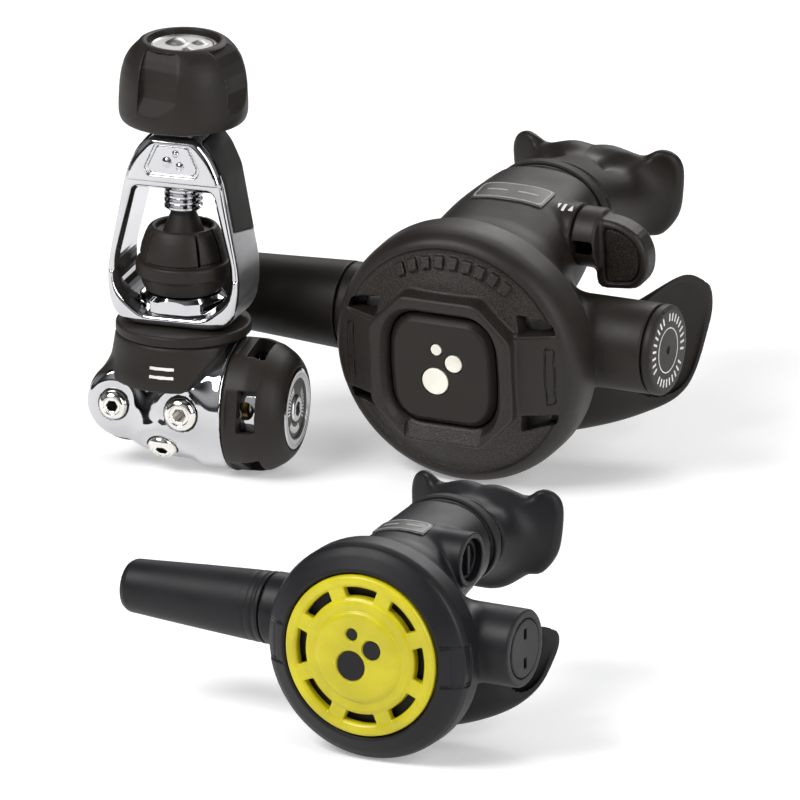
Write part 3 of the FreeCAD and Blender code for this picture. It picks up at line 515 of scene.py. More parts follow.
WARM_BLACK = (0.0128, 0.0098, 0.0074)
COOL_BLACK = (0.0098, 0.0092, 0.0108)
SOOT = (0.0085, 0.0072, 0.0062)
paint = {
    "chrome": metal("chrome", (0.56, 0.56, 0.575), 0.05, sides=True),
    "satin": metal("satin chrome", (0.70, 0.70, 0.71), 0.2, 0.25),
    "plug": metal("plug chrome", (0.80, 0.78, 0.74), 0.11, 0.12),
    "steel": metal("spring steel", (0.55, 0.55, 0.56), 0.26, 0.3),
    "brass": metal("brass", (0.70, 0.52, 0.24), 0.24, 0.25),
    "bronze": metal("sintered bronze", (0.42, 0.29, 0.15), 0.5, 0.7, 2600.0, 0.00005),
    "disc": metal("emblem disc", (0.40, 0.395, 0.385), 0.3, 0.2),
    "dark_disc": metal("printed disc", (0.13, 0.13, 0.128), 0.34, 0.2),
    "label": metal("label plate", (0.12, 0.118, 0.115), 0.34, 0.3),
    "rubber": plastic("black rubber", WARM_BLACK, 0.52, 2200.0, 0.00003, 0.28, 0.3),
    "soot": plastic("dark rubber", SOOT, 0.6, 2000.0, 0.00003, 0.3),
    "warm": plastic("warm black plastic", WARM_BLACK, 0.5, level=0.28),
    "cover": plastic("cover plastic", WARM_BLACK, 0.5, 1500.0, 0.00009, 0.9, masked=True),
    "cool": plastic("cool black plastic", COOL_BLACK, 0.46, level=0.24),
    "silicone": plastic("warm silicone", shade(WARM_BLACK, 0.9), 0.5, 2600.0, 0.00002, 0.2, 0.28),
    "cool_silicone": plastic("cool silicone", COOL_BLACK, 0.5, 2600.0, 0.00002, 0.2, 0.24),
    "clear": plastic("clear silicone", (0.50, 0.50, 0.48), 0.35, 1500.0, 0.00002, 0.2),
    "seal": plastic("seal rubber", (0.012, 0.012, 0.012), 0.4),
    "yellow": plastic("yellow plastic", (0.54, 0.47, 0.007), 0.34, 900.0, 0.00002, 0.18, 0.45, 1.15),
    "cream": plastic("cream inlay", (0.78, 0.75, 0.66), 0.4, 900.0, 0.00002, 0.15, 0.4, 1.1),
    "grey_print": plastic("grey print", (0.26, 0.255, 0.25), 0.45, 900.0, 0.00002, 0.15, 0.3, 1.1),
    "white": plastic("white print", (0.72, 0.71, 0.68), 0.5, 900.0, 0.00002, 0.15, 0.3, 1.1),
}

# ---------------------------------------------------------------- first stage
low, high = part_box("screw_foot")
first_place = Matrix.Translation(((low.x + high.x) / 2, (low.y + high.y) / 2, 0)) @ Matrix.Scale(0.001, 4)
BODY_Z = 21.6
BODY_R = 22
BAR_Z = 22.4
BAR_LEFT = -15.6
PLUGS = (((-18.7, -15.9, 22.4), (0, -1, 0), 4.4), ((6, -20.6, 23), (0, -1, 0), 5.1),
         ((-2, -15.4, 10.2), (0, -0.76, -0.65), 4.4))
WINDOWS = 5
WINDOW_TURN = 8


def bubbles(spots, axis_point, lift):
    """Three domes, the set's plain emblem: each is (x, z, radius) on a face at y = axis_point."""
    return [ball((x, axis_point + radius * 1.2 - lift, z), radius * 1.2) for x, z, radius in spots]


def first_piece(name, field, low, high, cell, body, nodes, slot, material, marks=None):
    return carve(name, field, low, high, cell, first_place, body, nodes, slot, paint[material], marks)


WHEEL = [(117.9, 20.5), (120.2, 21.2), (124, 21.2), (130, 20.9), (134, 20.35), (138, 19.2), (141, 17.5),
         (143.2, 15.5), (144.4, 13.6)]
WHEEL_FLOOR = 141.4


def handwheel():
    profile = eased([(117, 0), (117, 19)] + WHEEL + [(144.5, 12.6), (144.2, 11.8), (WHEEL_FLOOR, 11.6),
                                                       (WHEEL_FLOOR, 0)], 1.2)
    wheel = turned(profile, ORIGIN, UP)
    heights, radii = zip(*WHEEL)

    def recess(angle):
        """Shallow panel, deeper along one side, ending in a slope above the wheel's lower edge."""
        turn = math.radians(angle)
        lean = math.radians(angle - 8)
        out = (math.cos(lean), math.sin(lean))
        across = (-math.sin(turn), math.cos(turn))

        def field(p):
            reach = p[:, 0] * out[0] + p[:, 1] * out[1]
            z = p[:, 2]
            floor = np.maximum(0.875 * np.interp(z, heights, radii), 18.25 + 0.46 * (129 - z))
            side = np.abs(p[:, 0] * across[0] + p[:, 1] * across[1]) - 6.9
            return np.maximum(np.maximum(floor - reach, side), z - 143.4)
        return field
    wheel = cut(0.35, wheel, *(recess(-98 + 90 * i) for i in range(4)))
    first_piece("wheel_grip", wheel, (-22, -22, 117), (22, 22, 145), 0.5, "handwheel", ["handwheel"],
                "black_rubber", "rubber")
    top = WHEEL_FLOOR + 1
    disc = union(0.4, rod((0, 0, WHEEL_FLOOR - 0.3), (0, 0, top), 11.45, rounding=0.3),
                 *(ball((x, y, top - r * 0.9), r * 1.35) for x, y, r in ((-2.6, 1.6, 3.6), (4.6, 3.4, 2.3),
                                                                        (3, -4.4, 1.7))))
    disc = union(0.2, disc, ring((0, 0, top - 0.1), 2, 10.3, 0.45))
    first_piece("wheel_emblem", disc, (-12, -12, WHEEL_FLOOR - 1), (12, 12, top + 2), 0.3, "handwheel",
                ["handwheel_disc"], "grey_disc", "disc")


YOKE_OUTLINE = mirrored_outline([(13.5, 48.8), (19, 51), (21.6, 55.5), (22.8, 63), (22.4, 70),
                                 (16.4, 101), (13, 108), (9, 112.6), (7, 114)])
YOKE_WINDOW = mirrored_outline([(10.5, 54), (17.2, 59.5), (19.2, 64), (19.1, 71), (13.4, 94.6),
                                (12.2, 95.6)])
YOKE_HALF = 12.5          # half the yoke's depth
TRAY_FLOOR = -11.5
EMBLEM_FACE = -11.95
PAD_EDGE = plane((0, 0, 80.8), (0, -0.2, -0.98))


def yoke():
    solid = prism(eased(YOKE_OUTLINE, 3.5), 1, -YOKE_HALF, YOKE_HALF, 2.6)
    outline = eased(YOKE_WINDOW, 2.5)

    def window(p):
        """Opening whose front and back edges are bevelled."""
        side = front_distance(p, outline)
        return side - np.clip(np.abs(p[:, 1]) - 9.4, 0, 3.2) * 0.62
    arms = box((-40, 11.7, 66.8), (40, 20, 98.6), 0.3)
    tray = eased(mirrored_outline([(8.3, 100.9), (9.6, 103.4), (5.9, 111.7)]), 0.9)
    tray_floor = eased(mirrored_outline([(7.3, 101.8), (8.4, 103.6), (5.1, 110.8)]), 0.7)
    frame_body = cut(0.8, solid, window, mirrored(arms, 1))
    frame_body = cut(0.35, frame_body, prism(tray, 1, -14, TRAY_FLOOR, 0.1))
    frame_body = union(0.35, frame_body, prism(tray_floor, 1, EMBLEM_FACE, -11, 0.2))
    frame_body = union(0.3, frame_body, *bubbles(((-1.8, 105.6, 1.9), (2.6, 104.4, 1.3), (1.2, 108.6, 1)),
                                                 EMBLEM_FACE, 0.7))
    frame_body = cut(0.3, frame_body, rod((0, 0, 40), (0, 0, 60), 9.05), rod((0, 0, 54.2), (0, 0, 60), 14.4),
                     rod((0, 0, 90), (0, 0, 120), 6.5))
    frame_body = cut(0.3, frame_body, both(0.2, mirrored(pad_shape(0.15)), PAD_EDGE))

    def brushed(p):
        """Flat outer sides below the pads."""
        side = np.abs(front_distance(p, YOKE_OUTLINE)) < 0.5
        return np.where(side & (np.abs(p[:, 1]) < 10.4) & (np.abs(p[:, 0]) > 18), 1, 0)
    first_piece("yoke_frame", frame_body, (-23, -12.6, 48.7), (23, 12.6, 114.2), 0.45, "first_stage",
                ["yoke"], "polished_chrome", "chrome", brushed)
    pads = both(0.5, mirrored(pad_shape(0)), PAD_EDGE)
    first_piece("yoke_pads", pads, (-23, -9, 60), (23, 11, 114), 0.5, "first_stage", ["yoke_side_pads"],
                "black_rubber", "soot")


def pad_shape(grow):
    """Slab let into the outer side of the right arm."""
    outline = eased([(22.9 + grow, 60), (22.9 + grow, 67.8), (22 + grow, 73.5), (16.85 + grow, 101),
                     (13.5 + grow, 108.3), (9.8, 112.9), (8.4 - grow, 111.6), (12.2 - grow, 107),
                     (15.5 - grow, 100.5), (21.1 - grow, 69), (21.1 - grow, 60)], 1.5)
    return prism(outline, 1, -8.5 - grow, 10.5 + grow, 0.9)


def dust_cap():
    profile = eased([(59.4, 0), (59.4, 12.4), (61.2, 13.4), (64.4, 14.5), (65, 15.4), (65.6, 15.75),
                     (69, 15.75), (69.7, 15.3), (69.9, 14.1), (70.5, 14.1), (70.7, 14.7), (74, 14.1),
                     (77.6, 12.9), (79.9, 11.8), (81, 10.8), (81.1, 9.8), (80.6, 9.2), (79, 8.8), (79, 0)],
                    0.6)
    shape = turned(profile, ORIGIN, UP)
    grooves = []
    panels = []
    for i in range(3):
        for angle in (-51, -12):
            grooves.append(spun(box((10.4, -0.45, 70.3), (18, 0.45, 83), 0.15), UP, 120 * i + angle))
        panels.append(spun(lambda p: np.abs(p[:, 1]) - 0.34 * p[:, 0], UP, 120 * i - 31.5))

    def set_back(p):
        """Three narrower panels between the grooves, set a little back."""
        between = np.minimum.reduce([panel(p) for panel in panels])
        return np.maximum(np.maximum(between, -(shape(p) + 0.45)), 70.6 - p[:, 2])
    inner = turned([(60, 0), (60, 10.6), (82, 10.6), (82, 0)], ORIGIN, UP)
    cap = cut(0.25, shape, cut(0.1, set_back, inner), *grooves)
    first_piece("inlet_dust_cap", cap, (-16, -16, 59.3), (16, 16, 81.3), 0.4, "dust_cap", ["dust_cap"],
                "black_rubber", "rubber")


def plug_frame(at, toward):
    """Seat and outward direction of a port plug."""
    return np.array(at, float), np.array(toward, float) / np.linalg.norm(toward)


def body():
    bar = union(1, box((BAR_LEFT, -15, BAR_Z - 12), (14, 15, BAR_Z + 12), 2.2),
                rod((BAR_LEFT, -15, BAR_Z), (BAR_LEFT, 15, BAR_Z), 12, rounding=1.4))
    swell = lathe([(-14, 0), (-14, 12), (10, BODY_R), (19.4, BODY_R), (19.4, 0)], 1, (0, 0, BODY_Z), ALONG_X)
    block = [swell, rod((0, 0, BAR_Z), (0, 0, 45.3), 16), ball((-6.5, -11, 18), 7)]
    tools = []
    for at, toward, radius in PLUGS:
        at, toward = plug_frame(at, toward)
        face = at - toward * 0.9
        block.append(rod(face - toward * 9, face, radius + 3.8, rounding=0.9))
        tools.append(rod(at - toward * 6, at + toward, radius))
        tools.append(rod(at - toward * 1.9, at - toward * 0.9 + toward * 6, radius + 0.9, rounding=0.2))
    for x in (-13, 7):
        block.append(rod((x, 8, BAR_Z), (x, 19, BAR_Z), 8.6, rounding=0.7))
        tools += [rod((x, 10, BAR_Z), (x, 21, BAR_Z), 4.4, rounding=0.1),
                  rod((x, 3, BAR_Z), (x, 20, BAR_Z), 1.8)]
        tools.append(rod((x, 18.2, BAR_Z), (x, 21, BAR_Z), 5.4, rounding=0.2))
    solid = union(5, union(6, bar, *block[:3]), *block[3:])
    solid = cut(0.25, solid, plane(ORIGIN, UP), *tools)
    first_piece("body_chrome", solid, (-28, -22, 0), (20, 20, 46), 0.5, "first_stage", ["body_block"],
                "polished_chrome", "chrome")
    plugs = []
    for at, toward, radius in PLUGS:
        at, toward = plug_frame(at, toward)
        side = radius + 0.5
        shape = lathe([(-5.9, 0), (-5.9, radius - 0.3), (-1.5, radius - 0.3), (-1.5, side), (1.5, side),
                       (2.5, side - 0.7), (3.2, side - 1.7), (3.2, 0)], 0.5, at, toward)
        socket = prism(hexagon(0.46 * radius), 2, -4.6, 6, 0.05)
        rotation = np.array(Vector(UP).rotation_difference(Vector(toward)).to_matrix())
        hole = (lambda f, a, m: (lambda p: f((p - a) @ m)))(socket, at, rotation)
        plugs.append(cut(0.2, shape, hole, rod(at + toward * 2.8, at + toward * 4, 0.66 * radius,
                                               rounding=0.1)))
    first_piece("port_plug_heads", union(0, *plugs), (-26, -25, -1), (13, -8, 31), 0.3, "first_stage",
                ["port_plugs"], "plug_chrome", "plug")


def shroud():
    flare = lathe([(28.6, 0), (28.6, 22.4), (30.2, 24.4), (33, 24.5), (38, 23.4), (45.3, 22.3), (45.3, 0)],
                  1.4)
    right = plane((8.5, 0, 32), (-13, 0, 11))
    flare = both(1.2, flare, plane((17.5, 0, 0), ALONG_X), lambda p: -right(p))
    wrap = union(0.5, box((BAR_LEFT, -12.5, BAR_Z - 13.6), (8, 16.8, BAR_Z + 13.6), 2.5),
                 rod((BAR_LEFT, -12.5, BAR_Z), (BAR_LEFT, 16.8, BAR_Z), 13.6, rounding=2))
    solid = union(3, flare, wrap)
    tools = [box((-60, -60, -5), (60, -13, 30.3), 1)]
    for at, toward, radius in PLUGS[2:]:
        at, toward = plug_frame(at, toward)
        tools.append(rod(at - toward * 9, at + toward * 9, radius + 5))
    for x in (-13, 7):
        tools.append(rod((x, 0, BAR_Z), (x, 30, BAR_Z), 9))
    solid = cut(0.7, solid, *tools)
    first_piece("body_jacket", solid, (-31, -26, 7), (20, 26, 45.6), 0.6, "first_stage", ["body_shroud"],
                "black_rubber", "rubber")
    collar = lathe([(45.3, 8), (45.3, 21.9), (45.7, 22.3), (48.2, 22.3), (48.8, 21.7), (48.8, 8)], 0.4)
    first_piece("collar_ring", collar, (-24, -24, 45), (24, 24, 49), 0.4, "first_stage", ["body_collar"],
                "black_rubber", "rubber")
    dashes = union(0, *(box((-4.2, -24.3, z - 0.55), (4.2, -20, z + 0.55), 0.2) for z in (38.4, 35.6)))
    skin = turned([(28.6, 0), (28.6, 22.5), (30.2, 24.6), (33, 24.62), (38, 23.52), (45.3, 22.4), (45.3, 0)],
                  ORIGIN, UP)
    thin = both(0, dashes, skin)
    first_piece("jacket_dashes", thin, (-6, -25, 33), (6, -19, 41), 0.3, "first_stage", [], "black_rubber",
                "white")


def end_cap():
    base = (0, 0, BODY_Z)
    profile = eased([(19.5, 13), (19.5, 21.6), (20.3, 22), (27, 22), (32, 20.7), (36, 18.3),
                     (38, 16.2), (38.9, 14.6), (38.9, 13.5), (36.3, 13.5), (36.3, 13)], 1.2)
    cap = turned(profile, base, ALONG_X)
    tools = []
    for i in range(WINDOWS):
        turn = WINDOW_TURN + 360 / WINDOWS * i
        tools.append(spun(box((24.8, -7, BODY_Z + 12), (30.8, 7, BODY_Z + 27), 0.6), ALONG_X, turn, base))
        tools.append(spun(box((21, -8.2, BODY_Z + 20.9), (40, 8.2, BODY_Z + 27), 0.3), ALONG_X, turn, base))
    bore = turned([(18, 0), (18, 17), (34.6, 17), (36, 15), (36, 13.4), (41, 13.4), (41, 0)], base, ALONG_X)
    cap = cut(0.25, cap, bore, *tools)
    cap = cut(0.3, cap, plane(ORIGIN, UP))
    first_piece("bumper_cap", cap, (19, -23, 0), (39.5, 23, 44), 0.5, "first_stage", ["end_cap"],
                "black_rubber", "rubber")
    disc = lathe([(34, 0), (34, 11.4), (38.6, 11.4), (38.9, 11.1), (38.9, 9.6), (38.5, 9.4), (38.5, 4.6),
                  (36, 4.6), (36, 0)], 0.2, base, ALONG_X)
    first_piece("adjuster_disc", disc, (33.5, -12, BODY_Z - 12), (40, 12, BODY_Z + 12), 0.35, "first_stage",
                ["adjusting_screw"], "grey_disc", "dark_disc")
    rim = lathe([(38.4, 10), (39.2, 10.2), (39.2, 12.4), (38.2, 12.9), (37.6, 12.9), (37.6, 10)], 0.3, base,
                ALONG_X)
    button = lathe([(34.2, 0), (34.2, 4.4), (38.8, 4.4), (39.3, 3.8), (39.3, 0)], 0.4, base, ALONG_X)
    button = cut(0.15, button, prism(hexagon(2.6, 30, BODY_Z), 0, 35, 42, 0.1))
    first_piece("adjuster_chrome", union(0, rim, button), (34, -14, BODY_Z - 14), (40, 14, BODY_Z + 14), 0.3,
                "first_stage", [], "polished_chrome", "satin")
    ticks = [spun(box((38.3, -0.3, BODY_Z + 6), (38.66, 0.3, BODY_Z + 8.2), 0.1), ALONG_X, 9 * i + 20, base)
             for i in range(36) if i % 12 < 9]
    first_piece("adjuster_print", union(0, *ticks), (38, -9, BODY_Z - 9), (39, 9, BODY_Z + 9), 0.22,
                "first_stage", [], "grey_disc", "white")


# ---------------------------------------------------------------- second stages
PRIMARY = dict(
    key="primary", rim=44, depth=36, skirt=10, tube=(22, 1),
    boss_left=(-50, 14.6), boss_right=(60, 15), cap=(3.4, 15),
    neck=((15, 17, 25, 20), (40, 20, 24, 19.5), (58, 22.2, 21.5, 17.6),
          (66, 23, 20, 16.5)), spigot=74,
    throat=((72, 23, 20, 16.5), (80, 21.5, 18.5, 15), (93, 18, 20.5, 14.5),
            (105, 15.5, 24, 14.5)),
    flange=(106, 14.5, 30.5, 18, 4), tabs=(7, 9, 3, 14),
    boot=((-50.3, 14.7), (-86, 12.8), (-105, 12.2)),
    tee=((0, 31, -25, 14.8, 15.2), (22, 38, -23, 12.5, 16), (40, 50, -16, 10, 20),
         (51, 61, -10, 7.5, 20), (57, 66, -1.5, 6.5, 10)), mouth=((48, 56, -10), (0.85, -0.5, 0)),
    label=((0, 43), 13, 6),
    black="warm", plastic="warm_black_plastic", soft="silicone", square=2.7,
)
OCTOPUS = dict(
    key="octopus", rim=36, depth=31, skirt=8, tube=(18, 2),
    boss_left=(-44, 11.9), boss_right=(46, 12.75), cap=(1.6, 9.75),
    neck=((12, 15, 19, 16), (32, 18, 18, 15.5), (51, 21, 17, 14)), spigot=58,
    throat=((56, 21, 17, 14), (63, 20, 15.6, 12.8), (71, 18, 17.5, 12.5),
            (79, 17, 20.5, 13)),
    flange=(79, 16.5, 27, 17, 3.6), tabs=(10, 8, 2.8, 12),
    boot=((-44.3, 11.8), (-60, 10.9), (-96.5, 8.7)),
    tee=((0, 26, -20, 11.8, 12.2), (16, 30, -19, 9.5, 12.5), (30, 37, -14, 7.5, 13),
         (38, 42.5, -9.5, 6, 10.5), (42, 45.5, -5, 5.5, 5.5)), mouth=((36.5, 40.5, -9), (0.85, -0.5, 0)),
    label=((-3, 28), 9.5, 4),
    black="cool", plastic="cool_black_plastic", soft="cool_silicone", square=2.3,
)
LIP = [(0, 0.83), (0.22, 0.93), (0.52, 0.82), (0.76, 1), (0.92, 0.92), (1, 0.66), (0.99, 0.2), (0.93, -0.27),
       (0.76, -0.62), (0.58, -0.64), (0.36, -0.92), (0.18, -1.03), (0, -1.04)]
joints = {j["name"]: j for j in frame["joints"]}


def unit_place(key):
    """Frame of a second stage, from its joints' axes and its diaphragm plate."""
    x = Vector(joints[key + "_poppet_travel"]["axis"])
    y = Vector(joints[key + "_purge_press"]["axis"])
    z = Vector(joints[key + "_lever_tilt"]["axis"])
    low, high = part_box(key + "_diaphragm_plate")
    origin = (low + high) / 2 - y * 0.00115
    columns = [x * 0.001, y * 0.001, z * 0.001, origin]
    return Matrix([[c[i] for c in columns] for i in range(3)] + [[0, 0, 0, 1]])


for unit in (PRIMARY, OCTOPUS):
    unit["place"] = unit_place(unit["key"])


def unit_piece(unit, name, field, low, high, cell, body, nodes, slot, material, marks=None):
    key = unit["key"] + "_"
    stood_for = [key + n for n in nodes]
    return carve(key + name, field, low, high, cell, unit["place"], key + body, stood_for, slot,
                 paint[material], marks)


def oval_rows(rows):
    """CAD sections (y, z, half x, half z) as loft stations."""
    return [(y, 0, z, a, b) for y, z, a, b in rows]


def tube_line(unit, x):
    return (x, *unit["tube"])


def case(unit, extra, tools):
    """Bowl, neck and valve tube bosses, hollow from the front, with solids added and tools taken away."""
    rim = unit["rim"] - 2.5
    deep = unit["depth"]
    skirt = unit["skirt"]
    bowl = lathe([(skirt - 2, 0), (skirt - 2, rim), (skirt, rim), (skirt + 6, rim - 2.5),
                  (deep - 6, rim - 12), (deep, rim - 19), (deep, 0)], 3, axis=ALONG_Y)
    lip = lathe([(1, 0), (1, rim), (skirt, rim), (skirt, 0)], 0.5, axis=ALONG_Y)
    left_x, left_r = unit["boss_left"]
    right_x, right_r = unit["boss_right"]
    end_y, end_z, end_a, end_b = unit["neck"][-1]
    rows = oval_rows(unit["neck"])
    neck = loft(rows, rounding=1.2, power=unit["square"])
    spigot = loft([(end_y - 2, 0, end_z, end_a - 3, end_b - 3),
                   (unit["spigot"], 0, end_z, end_a - 3, end_b - 3)])
    bosses = union(0, rod(tube_line(unit, left_x), tube_line(unit, 0), left_r, rounding=0.8),
                   rod(tube_line(unit, 0), tube_line(unit, right_x), right_r, rounding=0.8))
    solid = union(5, bowl, neck, bosses)
    solid = union(1.5, solid, *extra)
    solid = union(0.4, solid, lip, spigot)
    airway = loft([(20, 0, end_z - 3, end_a - 6, end_b - 6),
                   (unit["spigot"] + 4, 0, end_z, end_a - 6, end_b - 6)])
    front = turned([(-2, 0), (-2, rim - 2.5), (skirt + 4, rim - 4), (skirt + 12, rim - 14), (skirt + 12, 0)],
                   ORIGIN, ALONG_Y)
    solid = cut(0.3, solid, airway, front, *tools)
    reach = rim + 4
    unit_piece(unit, "shell", solid, (left_x - 1, 0, -reach), (right_x + 1, unit["spigot"] + 1, reach), 0.7,
               "second_stage", ["case"], unit["plastic"], unit["black"])


def mouthpiece(unit):
    flange_y, flange_z, half_x, half_z, thick = unit["flange"]
    outline = [tuple(row) for row in spline_table([(half_x * x, flange_z + half_z * z) for x, z in LIP], 4)]
    outline = mirrored_outline(outline)
    slab = prism(outline, 1, 0, thick, thick * 0.48)
    reach = half_x ** 2

    def flange(p):
        """Flange bent so that its ends sweep back towards the diver's cheeks."""
        q = p.copy()
        q[:, 1] = p[:, 1] - flange_y - 5 * (p[:, 0] ** 2 / reach) + 4
        return slab(q)
    sleeve = unit["neck"][-1]
    start = sleeve[0] + 0.2
    rows = oval_rows(unit["throat"])
    throat = loft([(start, 0, sleeve[1], sleeve[2], sleeve[3])] + rows, rounding=0.5)
    body = union(9, throat, flange)
    grooves = [oval_groove(throat, start + along, wide)
               for along, wide in ((0.9, 0.9), (6.6, 0.9), (8.8, 0.9), (11, 0.9))]
    length, width, tab_h, offset = unit["tabs"]
    top = flange_y + thick + length
    tab = union(2, box((offset, flange_y - 2, flange_z - tab_h / 2),
                       (offset + width, top, flange_z + tab_h / 2), 1.2),
                box((offset, top - 3.5, flange_z - 4.5), (offset + width, top, flange_z + 4.5), 1.6))
    body = union(2, body, mirrored(tab))
    bore = loft([(start - 2, 0, sleeve[1], sleeve[2] - 5.4, sleeve[3] - 5.4)]
                + [(y, 0, z, a - 4, b - 4) for y, z, a, b in unit["throat"]]
                + [(flange_y + 8, 0, flange_z, half_x * 0.72, half_z * 0.66)])
    fold = mirrored(rod((half_x * 0.3, flange_y - 14, flange_z + half_z * 0.95),
                        (half_x * 0.62, flange_y - 1, flange_z + half_z * 1.02), 2.6))
    body = cut(1.5, body, bore, *grooves)
    body = cut(3, body, fold)
    unit_piece(unit, "bite_piece", body, (-half_x - 2, start - 1, flange_z - half_z - 3),
               (half_x + 2, top + 1, flange_z + half_z + 3), 0.7, "second_stage", ["mouthpiece"],
               "black_silicone", unit["soft"])


def oval_groove(around, y, wide):
    """Groove cut a little way into a sleeve, all round it."""
    return lambda p: np.maximum(np.abs(p[:, 1] - y) - wide / 2, -(around(p) + 1.1))


def tie(unit):
    y, z, a, b = unit["neck"][-1]
    outer = loft([(y + 2, 0, z, a + 0.95, b + 0.95), (y + 5.6, 0, z, a + 0.95, b + 0.95)], rounding=0.6)
    inner = loft([(y, 0, z, a - 0.4, b - 0.4), (y + 8, 0, z, a - 0.4, b - 0.4)], rounding=0)
    lock = box((-4.5, y + 1.6, z - b - 3.2), (4.5, y + 6, z - b + 0.5), 0.8)
    shape = union(0.6, cut(0.1, outer, inner), lock)
    unit_piece(unit, "clamp_band", shape, (-a - 2, y + 1, z - b - 4), (a + 2, y + 7, z + b + 2), 0.45,
               "second_stage", ["mouthpiece_tie"], "black_silicone", "soot")


def tee(unit):
    """Exhaust horn to both sides, cut obliquely and tapering to a tip at the top of each mouth."""
    rows = list(unit["tee"])
    point, normal = unit["mouth"]
    tip = rows[-1]
    wing = loft(rows, axis=0)
    inner = loft([(2, *rows[0][1:])] + rows[1:] + [(tip[0] + 4, *tip[1:])], axis=0, inset=2.4)
    shape = both(0.8, mirrored(wing), mirrored(plane(point, normal)))
    shape = cut(0.6, shape, mirrored(inner))
    wide = tip[0] + 1
    lowest = min(row[2] - row[4] for row in rows) - 4
    highest = max(row[2] + row[4] for row in rows) + 4
    unit_piece(unit, "bubble_tee", shape, (-wide, rows[0][1] - 18, lowest), (wide, tip[1] + 14, highest), 0.5,
               "second_stage", ["exhaust_tee"], "black_silicone", unit["soft"])


def label(unit):
    """Thin plate bent over the top of the neck, with a border and two dashes for its print."""
    (x, y), half_w, half_h = unit["label"]
    neck = loft(oval_rows(unit["neck"]), rounding=1.2, power=unit["square"])

    def plate_outline(gap):
        return eased([(x - half_w + gap, y - half_h + gap), (x + half_w - gap, y - half_h + gap),
                      (x + half_w - gap, y + half_h - gap), (x - half_w + gap, y + half_h - gap)], 1.6)
    outer = prism(plate_outline(0), 2, 4, 60, 0.1)
    plate = both(0.15, lambda p: np.abs(neck(p) + 0.6) - 1.15, outer)
    top = max(z + half_z for _, z, _, half_z in unit["neck"]) + 3
    low, high = (x - half_w - 1, y - half_h - 1, 8), (x + half_w + 1, y + half_h + 1, top)
    unit_piece(unit, "neck_label", plate, low, high, 0.35, "second_stage", ["label_plate"],
               "silver_label", "label")
    frame_line = cut(0, prism(plate_outline(0.6), 2, 4, 60, 0), prism(plate_outline(1.2), 2, 3, 61, 0))
    print_line = [box((x + side * half_w * 0.42 - half_w * 0.28, y - 0.45, 4),
                       (x + side * half_w * 0.42 + half_w * 0.28, y + 0.45, 60), 0.1) for side in (-1, 1)]
    marks = both(0, lambda p: np.abs(neck(p) + 0.4) - 1.1, union(0, frame_line, *print_line))
    unit_piece(unit, "neck_label_print", marks, low, high, 0.22, "second_stage", [], "silver_label",
               "grey_print")


def boot(unit):
    """Hose boot round a bore, with ridges by the case on the octopus."""
    rows = list(unit["boot"])
    far_x, far_r = rows[-1]
    near_x, near_r = rows[0]
    table = spline_table([(far_x, far_r)] + sorted(rows[1:-1]) + [(near_x, near_r)], 6)
    outer = [tuple(row) for row in table]
    ridges = [(near_x - 3 * i - 2.2) for i in range(3)]
    shape = lathe([(far_x, 0), (far_x, far_r - 2.6), (far_x + 0.6, far_r - 1), (far_x + 2.4, far_r)]
                  + outer[4:] + [(near_x, 0)], 0.5, tube_line(unit, 0), ALONG_X)
    tools = [rod(tube_line(unit, far_x - 2), tube_line(unit, far_x + 20), 5.6, rounding=0.1)]
    if unit["key"] == "octopus":
        tools += [ring(tube_line(unit, x), 0, near_r + 0.35, 0.75) for x in ridges]
    shape = cut(0.3, shape, *tools)
    cy, cz = unit["tube"]
    unit_piece(unit, "strain_boot", shape, (far_x - 1, cy - near_r - 1, cz - near_r - 1),
               (near_x + 1, cy + near_r + 1, cz + near_r + 1), 0.6, "hose_end", ["hose_boot"],
               "black_rubber", "rubber" if unit["key"] == "primary" else "cool_silicone")


# ---------------------------------------------------------------- primary only
BUTTON_HALF = 19
BUTTON_EASE = 3
BUTTON_FACE = -17.2
EMBLEM = ((-2.2, -3.6, 4.6), (4.6, 3.4, 3), (-1.4, 7.6, 1.9))    # x, z and radius of each bubble
FRAME_HALF = 25.5        # the octagonal frame round the button
FRAME_CLIP = 12
BAND = 14.8              # half height of the smooth bands at the cover's sides
CRESCENT_R = 39.4
LEVER = (27, 45, 27)     # middle of the lever's hub, whose axis is along X
LEVER_BOSS_R = 10.6


def octagon(half, clip):
    return mirrored_outline([(half - clip, -half), (half, clip - half), (half, half - clip),
                             (half - clip, half)])


def button_outline(gap):
    half = BUTTON_HALF + gap
    lower = [(half - 7.5, -half), (half - 2.6, 3.4 - half), (half - 0.4, 9 - half)]
    return mirrored_outline(lower + [(half, 0)] + [(x, -z) for x, z in reversed(lower)])


BUTTON_EDGE = eased(button_outline(0.35), BUTTON_EASE)
FRAME = octagon(FRAME_HALF, FRAME_CLIP)


